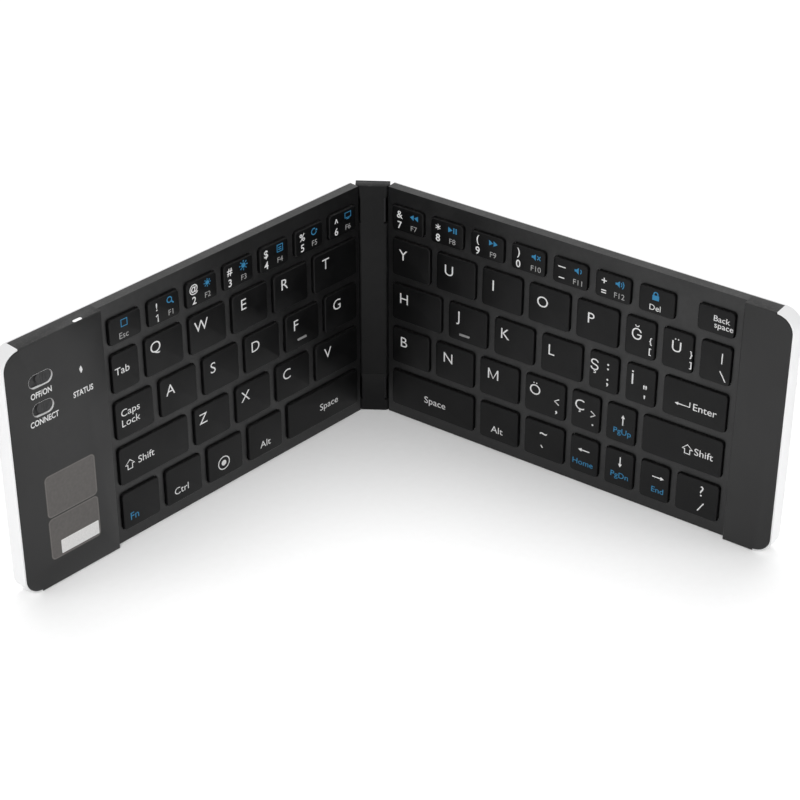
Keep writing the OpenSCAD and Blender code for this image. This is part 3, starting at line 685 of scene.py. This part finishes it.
def ink(name, colour, rough=0.55):
    """Pad-printed ink, a little thin in places."""
    tree, shader = new_finish(name, Specular_IOR_Level=0.3)
    thin = spread(tree, noise(tree, 0.5, 4.0).outputs["Fac"], 0.35, 0.65)
    dress(tree, shader, blended(tree, thin, *shades(colour, 0.9, 1.0)),
          spread(tree, thin, 0, 1, rough + 0.1, rough - 0.05))


def film(name, colour, line_colour, pitch, rough=0.35, line_share=0.35):
    """Film, foil or board that carries printed lines a few millimetres apart."""
    tree, shader = new_finish(name, Specular_IOR_Level=0.4)
    where = add_node(tree, "ShaderNodeTexCoord").outputs["Object"]
    lines = add_node(tree, "ShaderNodeTexBrick", Vector=where, Scale=1 / (MM * pitch),
                     Mortar_Size=0.04, Row_Height=0.5)
    grain = noise(tree, 1.2, 4.0).outputs["Fac"]
    base = blended(tree, spread(tree, grain, 0.3, 0.7), *shades(colour, 0.9, 1.08))
    base = blended(tree, times(tree, lines.outputs["Fac"], line_share), base, line_colour)
    bump = add_node(tree, "ShaderNodeBump", Height=lines.outputs["Fac"], Strength=0.3,
                    Distance=0.03 * MM)
    dress(tree, shader, base, spread(tree, grain, 0, 1, rough + 0.08, rough - 0.08),
          bump.outputs["Normal"])


def make_finishes(colours):
    """Every finish of the keyboard, under the name by which the pieces ask for it."""
    for make in (make_grain_group, make_handling_group, make_wear_group, make_dust_group):
        make()
    plastic("key_plastic", colours.keys, rough=0.38, grain=0.22, depth=0.12, patch=9.0, wear=0.1,
            specular=0.2)
    plastic("deck_plastic", colours.deck, rough=0.38, grain=0.35, depth=0.15, patch=20.0, wear=0.1,
            specular=0.5)
    plastic("end_plastic", colours.ends, rough=0.38, grain=0.35, depth=0.15, patch=24.0, wear=0.1,
            specular=0.46)
    plastic("spine_plastic", colours.spine, rough=0.4, grain=0.3, depth=0.15, patch=12.0, wear=0.1,
            specular=0.18)
    plastic("knob_plastic", (0.045, 0.045, 0.046), rough=0.5, grain=0.2, depth=0.3, patch=4.0,
            wear=0.4, specular=0.25)
    # Pale grey on the home bars is a painted highlight: it stands in for the glint on the raised
    # ridges
    plastic("bar_painted_glint", (0.30, 0.30, 0.30), rough=0.45, grain=0.2, depth=0.2, patch=3.0)
    plastic("foot_rubber", (0.02, 0.02, 0.021), rough=0.85, grain=0.5, depth=0.6, patch=5.0,
            wear=0.3, dust=0.4, specular=0.15)
    plastic("dome_rubber", (0.62, 0.62, 0.60), rough=0.6, grain=0.6, depth=0.2, patch=6.0,
            wear=0, specular=0.3)
    metal("shell_metal", colours.shell, rough=0.45, grain=0.12, depth=0.35)
    metal("steel", (0.55, 0.55, 0.56), rough=0.35, grain=0.4, depth=0.4, stretch=(1, 1, 0.05))
    metal("dark_steel", (0.03, 0.03, 0.031), rough=0.35, grain=0.4, depth=0.4, stretch=(1, 1, 0.05))
    metal("plate_steel", (0.62, 0.62, 0.63), rough=0.38, grain=0.5, depth=0.3,
          stretch=(0.05, 0.05, 1))
    metal("spine_plate", (0.05, 0.05, 0.052), rough=0.42, grain=0.3, depth=0.3)
    metal("battery_foil", (0.52, 0.52, 0.54), rough=0.3, grain=3.0, depth=0.8)
    ink("white_ink", colours.white_ink)
    ink("blue_ink", colours.blue_ink)
    ink("grey_ink", colours.grey_ink)
    ink("clear_plastic", (0.93, 0.93, 0.93), rough=0.25)
    # Near-white liner colour: a painted highlight for the lit lips of the switch slots
    ink("liner_painted_highlight", (0.85, 0.85, 0.85), rough=0.4)
    ink("label_line", shades(colours.label, 1, 1.7)[1], rough=0.5)
    ink("field_paper", (0.92, 0.91, 0.90), rough=0.6)
    film("label_film", colours.label, shades(colours.label, 1, 1.15)[1], 40.0, line_share=0.0)
    film("membrane_film", (0.62, 0.60, 0.46), (0.7, 0.7, 0.7), 8.0)
    film("cable_film", (0.40, 0.17, 0.05), (0.62, 0.36, 0.14), 2.0, line_share=0.6)
    film("board", (0.012, 0.12, 0.045), (0.03, 0.25, 0.10), 3.0, line_share=0.6)


# Finish of each packed solid that stays, and of those whose copies stand for them
NODE_FINISH = {
    "spine_plastic": ("spine_housing", "spine_lower_cap"),
    "spine_plate": ("spine_back_plate",),
    "steel": ("left_magnets", "right_magnets", "charging_socket"),
    "dark_steel": ("left_hinge_pin", "right_hinge_pin", "left_hinge_bracket",
                   "right_hinge_bracket"),
    "plate_steel": ("left_support_plate", "right_support_plate"),
    "cable_film": ("flex_cable",),
    "shell_metal": ("left_back_shell", "right_back_shell"),
    "deck_plastic": ("left_deck_frame", "right_deck_frame"),
    "end_plastic": ("left_ear_cover", "right_ear_cover"),
    "membrane_film": ("left_membrane", "right_membrane"),
    "dome_rubber": ("left_dome_sheet", "right_dome_sheet"),
    "foot_rubber": ("left_feet", "right_feet"),
    "board": ("main_board",),
    "battery_foil": ("battery",),
    "clear_plastic": ("light_pipes",),
    "label_film": ("label_plates",),
    "knob_plastic": ("power_slider", "connect_slider"),
    "key_plastic": tuple(KEY_MARKS),
}


TOOLS = []


def tool(label):
    """Makes one of the add-on's tools of a function that makes a group of pieces."""
    def add(make):
        def execute(self, context):
            make(context.scene)
            return {"FINISHED"}

        name = make.__name__
        TOOLS.append(type(f"KEYBOARD_OT_{name}", (bpy.types.Operator,), {
            "__doc__": make.__doc__, "bl_idname": f"keyboard.{name}", "bl_label": label,
            "execute": execute}))
        return make
    return add


@tool("Finishes")
def finishes(scene):
    """Make the finishes and give each packed solid its own."""
    make_finishes(scene.keyboard_colours)
    for finish, nodes in NODE_FINISH.items():
        for node in nodes:
            NODES[node].data.materials.clear()
            NODES[node].data.materials.append(finish_of(finish))
    bare = set(NODES) - {node for nodes in NODE_FINISH.values() for node in nodes}
    if bare:
        raise RuntimeError(f"no finish for {sorted(bare)}")


# Keys

def key_boxes(node, half):
    """Middle and size along X and Y of the keys of a packed solid, from the hinge outwards."""
    flat = half_matrix(half).inverted()
    mesh = NODES[node].data
    places = [flat @ vertex.co for vertex in mesh.vertices]
    spans = sorted(sorted(places[i].x for i in edge.vertices) for edge in mesh.edges)
    keys = [spans[0]]
    for low, high in spans[1:]:
        if low > keys[-1][1] + KEY_GAP:
            keys.append([low, high])
        keys[-1][1] = max(keys[-1][1], high)
    near, far = min(p.y for p in places), max(p.y for p in places)
    keys.sort(key=lambda span: abs(span[0] + span[1]))
    return [((low + high) / 2, (near + far) / 2, high - low, far - near) for low, high in keys]


def half_of(node):
    """The half that a node belongs to, by where its mesh lies."""
    return "left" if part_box(node)[0].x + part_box(node)[1].x < 0 else "right"


def model_cap(sizes):
    """One hollow key cap with round corners, a softened top and a post for its dome."""
    cap = start_piece(
        bpy.ops.mesh.primitive_cube_add, size=1, location=(0, 0, (KEY_TOP + KEY_SKIRT) / 2),
        scale=(CAP_WIDTH, CAP_DEPTH, KEY_TOP - KEY_SKIRT))
    edit(cap)
    pick("EDGE", lambda e: abs(e.verts[0].co.z - e.verts[1].co.z) > MM)
    bpy.ops.mesh.bevel(offset=sizes.key_corner, segments=6, affect="EDGES")
    pick("EDGE", lambda e: level(e, KEY_TOP))
    bpy.ops.mesh.bevel(offset=sizes.key_edge, segments=4, affect="EDGES")
    pick("FACE", lambda f: f.normal.z < -0.9)
    hollow = KEY_TOP - KEY_SKIRT - sizes.key_wall
    bpy.ops.mesh.inset(thickness=sizes.key_wall)
    bpy.ops.mesh.extrude_region_move(TRANSFORM_OT_translate={"value": (0, 0, hollow)})
    bpy.ops.mesh.inset(thickness=2 * MM)
    bpy.ops.mesh.extrude_region_move(TRANSFORM_OT_translate={"value": (0, 0, -hollow)})
    stop_edit()
    cap.name = "master_cap"
    return cap


def stretch(cap, width, depth):
    """Moves the two ends and the two sides of a cap apart, so that its corners keep their shape."""
    edit(cap)
    for axis, more in ((0, width - CAP_WIDTH), (1, depth - CAP_DEPTH)):
        for side in (-1, 1):
            pick("VERT", lambda v: v.co[axis] * side > 0)
            move = [0, 0, 0]
            move[axis] = side * more / 2
            bpy.ops.transform.translate(value=move)
    stop_edit()


@tool("Key Caps")
def key_caps(scene):
    """Model one key cap, copy it and stretch it to every key."""
    sizes = scene.keyboard_sizes
    master = model_cap(sizes)
    for node in KEY_MARKS:
        half = half_of(node)
        caps = []
        for x, y, width, depth in key_boxes(node, half):
            cap = twin(master, "cap")
            stretch(cap, width, depth)
            cap.data.transform(Matrix.Translation((x, y, 0)))
            caps.append(cap)
        if len(caps) != len(KEY_MARKS[node]):
            raise RuntimeError(f"{node} has {len(caps)} keys, not {len(KEY_MARKS[node])}")
        piece = join(caps, f"caps_{node}")
        set_up(piece, half, BODY_OF[node], "key_plastic", [node])
    bpy.data.objects.remove(master)


@tool("Home Bars")
def home_bars(scene):
    """Model the raised bar of the two home keys."""
    length = scene.keyboard_sizes.bar_length
    for node, index, across, along in HOME_BARS:
        half = half_of(node)
        x, y, _, _ = key_boxes(node, half)[index]
        bar = start_piece(
            bpy.ops.mesh.primitive_cube_add, size=1,
            location=(x + across, y + along, KEY_TOP),
            scale=(length, BAR_WIDTH, BAR_HEIGHT))
        edit(bar)
        pick("EDGE", lambda e: abs(e.verts[0].co.x - e.verts[1].co.x) < MM)
        bpy.ops.mesh.bevel(offset=BAR_EDGE, segments=4, affect="EDGES")
        stop_edit()
        bar.name = f"home_bar_{half}"
        set_up(bar, half, BODY_OF[node], "bar_painted_glint")


# Printed signs

def printed_text(words, height, bolder):
    """Flat letters of ink whose capitals are so high."""
    bpy.ops.object.select_all(action="DESELECT")
    bpy.ops.object.text_add()
    text = bpy.context.object
    text.data.body = words
    text.data.size = height / CAPITAL_SHARE
    text.data.offset = bolder
    text.data.extrude = INK / 2
    text.data.resolution_u = 4
    bpy.ops.object.convert(target="MESH")
    return bpy.context.object


def printed_drawing(strokes):
    """Flat ink lines and filled shapes of a drawn sign."""
    parts = []
    for points, width in strokes:
        line = bpy.data.curves.new("stroke", "CURVE")
        line.dimensions = "3D" if width else "2D"
        spline = line.splines.new("POLY")
        meets = points[0] == points[-1]
        corners = points[:-1] if meets else points
        spline.points.add(len(corners) - 1)
        for place, (x, y) in zip(spline.points, corners):
            place.co = (x * MM, y * MM, 0, 1)
        spline.use_cyclic_u = meets or not width
        if width:
            line.bevel_depth = width * MM / 2
            line.bevel_resolution = 1
            line.use_fill_caps = True
        else:
            line.fill_mode = "BOTH"
            line.extrude = INK / 2
        part = bpy.data.objects.new("stroke", line)
        bpy.context.scene.collection.objects.link(part)
        only(part)
        bpy.ops.object.convert(target="MESH")
        part = bpy.context.object
        if width:
            part.data.transform(Matrix.Diagonal((1, 1, INK / (width * MM), 1)))
        parts.append(part)
    return join(parts, "drawing")


def put_mark(mark, x, y, z):
    """Moves a mark so that the middle of its ink is at a place, just sunk in the surface."""
    corners = [Vector(corner) for corner in mark.bound_box]
    low = Vector(map(min, *corners))
    high = Vector(map(max, *corners))
    middle = (low + high) / 2
    mark.data.transform(Matrix.Translation((x - middle.x, y - middle.y, z + INK * INK_LIFT)))


def one_mark(what, style, x, y, z):
    """A printed sign of a style at its place, with its ink."""
    height, bolder, width, finish = STYLES[style]
    mark = printed_drawing(DRAWN[what]) if what in DRAWN else printed_text(what, height, bolder)
    mark.data.transform(Matrix.Diagonal((width, 1, 1, 1)))
    bpy.context.view_layer.update()
    put_mark(mark, x, y, z)
    mark.data.materials.clear()
    mark.data.materials.append(finish_of(finish))
    return mark


def clean(piece):
    """Merges a piece's doubles and turns its faces outwards."""
    edit(piece)
    bpy.ops.mesh.select_all(action="SELECT")
    bpy.ops.mesh.remove_doubles(threshold=0.001 * MM)
    bpy.ops.mesh.normals_make_consistent(inside=False)
    stop_edit()


@tool("Key Signs")
def key_signs(scene):
    """Print the letters and signs of every key."""
    for node, keys in KEY_MARKS.items():
        half = half_of(node)
        marks = []
        for (x, y, _, _), signs in zip(key_boxes(node, half), keys):
            for what, across, along, style in signs:
                marks.append(one_mark(what, style, x + across * MM, y + along * MM, KEY_TOP))
        piece = join(marks, f"signs_{node}")
        clean(piece)
        set_up(piece, half, BODY_OF[node])


@tool("End Words")
def end_words(scene):
    """Print the words beside the switches and the light on the left end."""
    marks = [one_mark(words, "end", -x, y, END_FRONT) for words, x, y in END_WORDS]
    piece = join(marks, "end_words")
    clean(piece)
    set_up(piece, "left", "left_half")


# Covers, shells and spine

@tool("Raised Ends")
def raised_ends(scene):
    """Soften the edges of the two raised ends."""
    width = scene.keyboard_sizes.end_edge
    for half in ("left", "right"):
        node = f"{half}_ear_cover"
        piece = lying_copy(node, half, f"{half}_raised_end")
        inner = DECK_END[half] + 0.1 * MM

        def outline(edge):
            middle = (edge.verts[0].co + edge.verts[1].co) / 2
            return (level(edge, END_FRONT) and is_rim(edge) and (
                abs(middle.x) < inner or abs(middle.x) > CORNER_START - MM
                or not 1 * MM < middle.y < DEPTH - 1 * MM))

        soften(piece, outline, width, 3)
        set_up(piece, half, f"{half}_half", "end_plastic", [node])


@tool("Metal Shells")
def shells(scene):
    """Soften the metal shells along their backs and the front of their bands."""
    width = scene.keyboard_sizes.shell_edge
    for half in ("left", "right"):
        node = f"{half}_back_shell"
        piece = lying_copy(node, half, f"{half}_metal_shell")
        soften(piece, lambda e: level(e, BACK) and is_rim(e), width, 3)
        soften(piece, lambda e: level(e, BAND_FRONT) and is_rim(e), BAND_EDGE)
        set_up(piece, half, f"{half}_half", "shell_metal", [node])


@tool("Hinge Spine")
def spine(scene):
    """Soften the ends of the hinge spine and the seam over its lower cap."""
    width = scene.keyboard_sizes.spine_edge
    for node, name, outer in (("spine_housing", "spine_body", DEPTH),
                              ("spine_lower_cap", "spine_foot", 0)):
        piece = lying_copy(node, "spine", name)
        for end, size in ((outer, width), (CAP_SEAM, SEAM_EDGE)):
            def at_end(edge, y=end):
                return is_rim(edge) and all(
                    abs(v.co.y - y) < SLACK
                    and (abs(v.co.x) > 1.5 * MM or abs(v.co.z) > 1.6 * MM)
                    for v in edge.verts)
            soften(piece, at_end, size)
        set_up(piece, "spine", "spine", "spine_plastic", [node])


# Trims of the left end, and feet

def pill(length, width, x, y, z):
    """A flat pill-shaped face."""
    piece = start_piece(bpy.ops.mesh.primitive_circle_add, vertices=40, radius=width / 2,
                        fill_type="NGON", location=(0, 0, 0))
    edit(piece)
    for side in (-1, 1):
        pick("VERT", lambda v: v.co.x * side > 0.01 * MM)
        bpy.ops.transform.translate(value=(side * (length - width) / 2, 0, 0))
    bpy.ops.mesh.select_all(action="SELECT")
    bpy.ops.transform.translate(value=(x, y, z))
    stop_edit()
    return piece


@tool("Slot Liners")
def slot_liners(scene):
    """Line the two switch slots with a pale rim."""
    rim = scene.keyboard_sizes.slot_liner
    liners = []
    for x, y, length in SLOTS:
        liner = pill(length, SLOT_WIDTH, -x, y, END_FRONT - 0.02 * MM)
        edit(liner)
        bpy.ops.mesh.select_mode(type="FACE")
        bpy.ops.mesh.select_all(action="SELECT")
        bpy.ops.mesh.inset(thickness=rim)
        bpy.ops.mesh.delete(type="FACE")
        bpy.ops.mesh.select_all(action="SELECT")
        bpy.ops.mesh.extrude_region_move(TRANSFORM_OT_translate={"value": (0, 0, -MM)})
        bpy.ops.mesh.select_all(action="SELECT")
        bpy.ops.mesh.normals_make_consistent(inside=False)
        stop_edit()
        liners.append(liner)
    piece = join(liners, "slot_liners")
    # The liners' white finish is a painted highlight along the slot lips
    set_up(piece, "left", "left_half", "liner_painted_highlight")


@tool("Switch Knobs")
def knobs(scene):
    """Soften the knobs of the two switches and their grip ribs."""
    for node in ("power_slider", "connect_slider"):
        piece = lying_copy(node, "left", f"{node}_knob")
        soften(piece, lambda e: is_rim(e) and all(v.co.z > KNOB_CROWN for v in e.verts),
               KNOB_EDGE)
        set_up(piece, "left", BODY_OF[node], "knob_plastic", [node])


@tool("Label Print")
def label_print(scene):
    """Print the frames and the blank field of the two label plates."""
    width, height = LABEL_SIZE
    line = round_box(width / MM / 2 - FRAME_INSET, height / MM / 2 - FRAME_INSET, FRAME_CORNER)
    frames = []
    for y in LABEL_Y:
        frames.append(printed_drawing(((line, FRAME_LINE),)))
        put_mark(frames[-1], -LABEL_X, y + height / 2, END_FRONT)
    piece = join(frames, "label_frames")
    clean(piece)
    set_up(piece, "left", "left_half", "label_line")
    field = printed_drawing(((round_box(*FIELD_HALF, FIELD_CORNER), 0),))
    put_mark(field, *FIELD_PLACE, END_FRONT)
    field.name = "label_field"
    clean(field)
    set_up(field, "left", "left_half", "field_paper")


@tool("Rubber Feet")
def rubber_feet(scene):
    """Model the eight rubber feet, with rounded rims and shallow hollows."""
    for half in ("left", "right"):
        feet = []
        for x in (HINGE_SIDE + FOOT_INSET, HINGE_SIDE + HALF_LENGTH - FOOT_INSET):
            for y in (FOOT_INSET, DEPTH - FOOT_INSET):
                foot = start_piece(
                    bpy.ops.mesh.primitive_cylinder_add, vertices=48, radius=FOOT_RADIUS,
                    depth=FOOT_T, location=(0, 0, BACK - FOOT_T / 2))
                edit(foot)
                pick("EDGE", lambda e: level(e, BACK - FOOT_T))
                bpy.ops.mesh.bevel(offset=FOOT_EDGE, segments=4, affect="EDGES")
                pick("FACE", lambda f: f.normal.z < -0.9 and f.calc_area() > 4 * MM * MM)
                bpy.ops.mesh.inset(thickness=FOOT_RIM, depth=-FOOT_HOLLOW)
                bpy.ops.mesh.select_all(action="SELECT")
                bpy.ops.transform.translate(value=(SIDE[half] * x, y, 0))
                stop_edit()
                feet.append(foot)
        piece = join(feet, f"{half}_rubber_feet")
        set_up(piece, half, f"{half}_half", "foot_rubber", [f"{half}_feet"])


# Stage

LAMPS = (
    # name of its strength, place, size
    ("above", (0.0, 0.45, 1.4), 1.3),
    ("left", (-1.3, -0.5, 0.6), 0.9),
    ("right", (1.3, -0.4, 0.6), 0.9),
    ("front", (0.0, -1.5, 1.3), 1.0),
)
LIT_PLACE = Vector((0, -0.06, 0.05))
WHITE = (1, 1, 1, 1)
# The floor: its size, how far under the keyboard it lies, and where it turns plain white
FLOOR_SIZE = 8
FLOOR_DROP = 0.2 * MM
FLOOR_FADE = (0.45, 1.1)
# The camera, solved from the photo
CAMERA_PLACE = (0.05290, -0.72443, 0.46064)
CAMERA_TURN = (math.radians(57.789), math.radians(-0.035), math.radians(3.402))
CAMERA_LENS = 99.097


def seen_rays(tree):
    """Whether a ray comes straight from the camera, a mirroring or a clear surface."""
    kinds = add_node(tree, "ShaderNodeLightPath").outputs
    seen = kinds["Is Camera Ray"]
    for other in ("Is Glossy Ray", "Is Transmission Ray"):
        seen = worked_out(tree, "MAXIMUM", seen, kinds[other])
    return seen


def mixed_shader(tree, share, first, second):
    """A shader between two, ready to be joined to an output."""
    made = tree.nodes.new("ShaderNodeMixShader")
    for socket, value in zip(made.inputs, (share, first.outputs[0], second.outputs[0])):
        tree.links.new(value, socket)
    return made.outputs[0]


def room_world(strength):
    """Pale room: white where it is seen, mirrored or looked through, and dimmer as a light."""
    world = bpy.data.worlds.new("Pale Room")
    world.use_nodes = True
    tree = world.node_tree
    tree.nodes.clear()
    seen = seen_rays(tree)
    as_light, as_white = (
        add_node(tree, "ShaderNodeBackground", Strength=strong, Color=WHITE)
        for strong in (strength, 1.0))
    out = add_node(tree, "ShaderNodeOutputWorld")
    tree.links.new(mixed_shader(tree, seen, as_light, as_white), out.inputs["Surface"])
    bpy.context.scene.world = world


def floor_finish():
    """Pale paper that looks near white, plain white far off, and throws little light up."""
    tree, shader = new_finish("floor_paper", Specular_IOR_Level=0.0, Roughness=0.9)
    seen = seen_rays(tree)
    fibre = spread(tree, noise(tree, 3.0, 3.0).outputs["Fac"], 0.3, 0.7)
    paper = blended(tree, fibre, (0.975, 0.975, 0.975), (0.99, 0.99, 0.99))
    tree.links.new(blended(tree, seen, (0.35, 0.35, 0.35), paper), shader.inputs["Base Color"])
    way_off = add_node(tree, "ShaderNodeVectorMath", operation="LENGTH")
    tree.links.new(add_node(tree, "ShaderNodeTexCoord").outputs["Object"], way_off.inputs[0])
    far = times(tree, spread(tree, way_off.outputs["Value"], *FLOOR_FADE), seen)
    white = add_node(tree, "ShaderNodeEmission", Strength=1.0, Color=WHITE)
    tree.links.new(mixed_shader(tree, far, shader, white),
                   tree.nodes["Material Output"].inputs["Surface"])


@tool("Stage")
def stage(scene):
    """Make the floor, the room, the lamps and the camera."""
    light = scene.keyboard_light
    floor = start_piece(bpy.ops.mesh.primitive_plane_add, size=FLOOR_SIZE,
                        location=(0, 0, -FLOOR_DROP))
    floor.name = "floor"
    floor_finish()
    floor.data.materials.append(finish_of("floor_paper"))
    room_world(light.room)
    for name, place, size in LAMPS:
        way = LIT_PLACE - Vector(place)
        bpy.ops.object.light_add(type="AREA", location=place,
                                 rotation=way.to_track_quat("-Z", "Y").to_euler())
        lamp = bpy.context.object
        lamp.name = f"lamp_{name}"
        lamp.data.shape = "DISK"
        lamp.visible_glossy = False  # the room is what shines in the plastic
        lamp.data.size = size
        lamp.data.energy = getattr(light, name) * math.pi ** 2 * way.length_squared
    bpy.ops.object.camera_add(location=CAMERA_PLACE, rotation=CAMERA_TURN)
    camera = bpy.context.object
    camera.name = "camera"
    camera.data.lens = CAMERA_LENS
    camera.data.sensor_width = 36
    camera.data.clip_start = 0.01
    camera.data.clip_end = 30
    scene.camera = camera
    scene.view_settings.view_transform = "Standard"


class KEYBOARD_PT_panel(bpy.types.Panel):
    """Lists the keyboard's settings and tools."""

    bl_idname = "KEYBOARD_PT_panel"
    bl_label = "Folding Keyboard"
    bl_space_type = "VIEW_3D"
    bl_region_type = "UI"
    bl_category = "Keyboard"

    def draw(self, context):
        for group in ("keyboard_sizes", "keyboard_colours", "keyboard_light"):
            settings = getattr(context.scene, group)
            box = self.layout.box()
            for key in settings.__annotations__:
                box.prop(settings, key)
        for operator in TOOLS:
            self.layout.operator(operator.bl_idname)


SETTINGS = (
    ("keyboard_sizes", KeyboardSizes),
    ("keyboard_colours", KeyboardColours),
    ("keyboard_light", KeyboardLight),
)


def register():
    for group in (*(kind for _, kind in SETTINGS), *TOOLS, KEYBOARD_PT_panel):
        bpy.utils.register_class(group)
    for name, kind in SETTINGS:
        setattr(bpy.types.Scene, name, bpy.props.PointerProperty(type=kind))


def unregister():
    for name, _ in SETTINGS:
        delattr(bpy.types.Scene, name)
    for group in (KEYBOARD_PT_panel, *reversed(TOOLS), *(kind for _, kind in SETTINGS)):
        bpy.utils.unregister_class(group)


def main():
    """Registers the tools and uses each of them once."""
    register()
    for operator in TOOLS:
        family, name = operator.bl_idname.split(".")
        getattr(getattr(bpy.ops, family), name)()


if __name__ == "__main__":
    main()
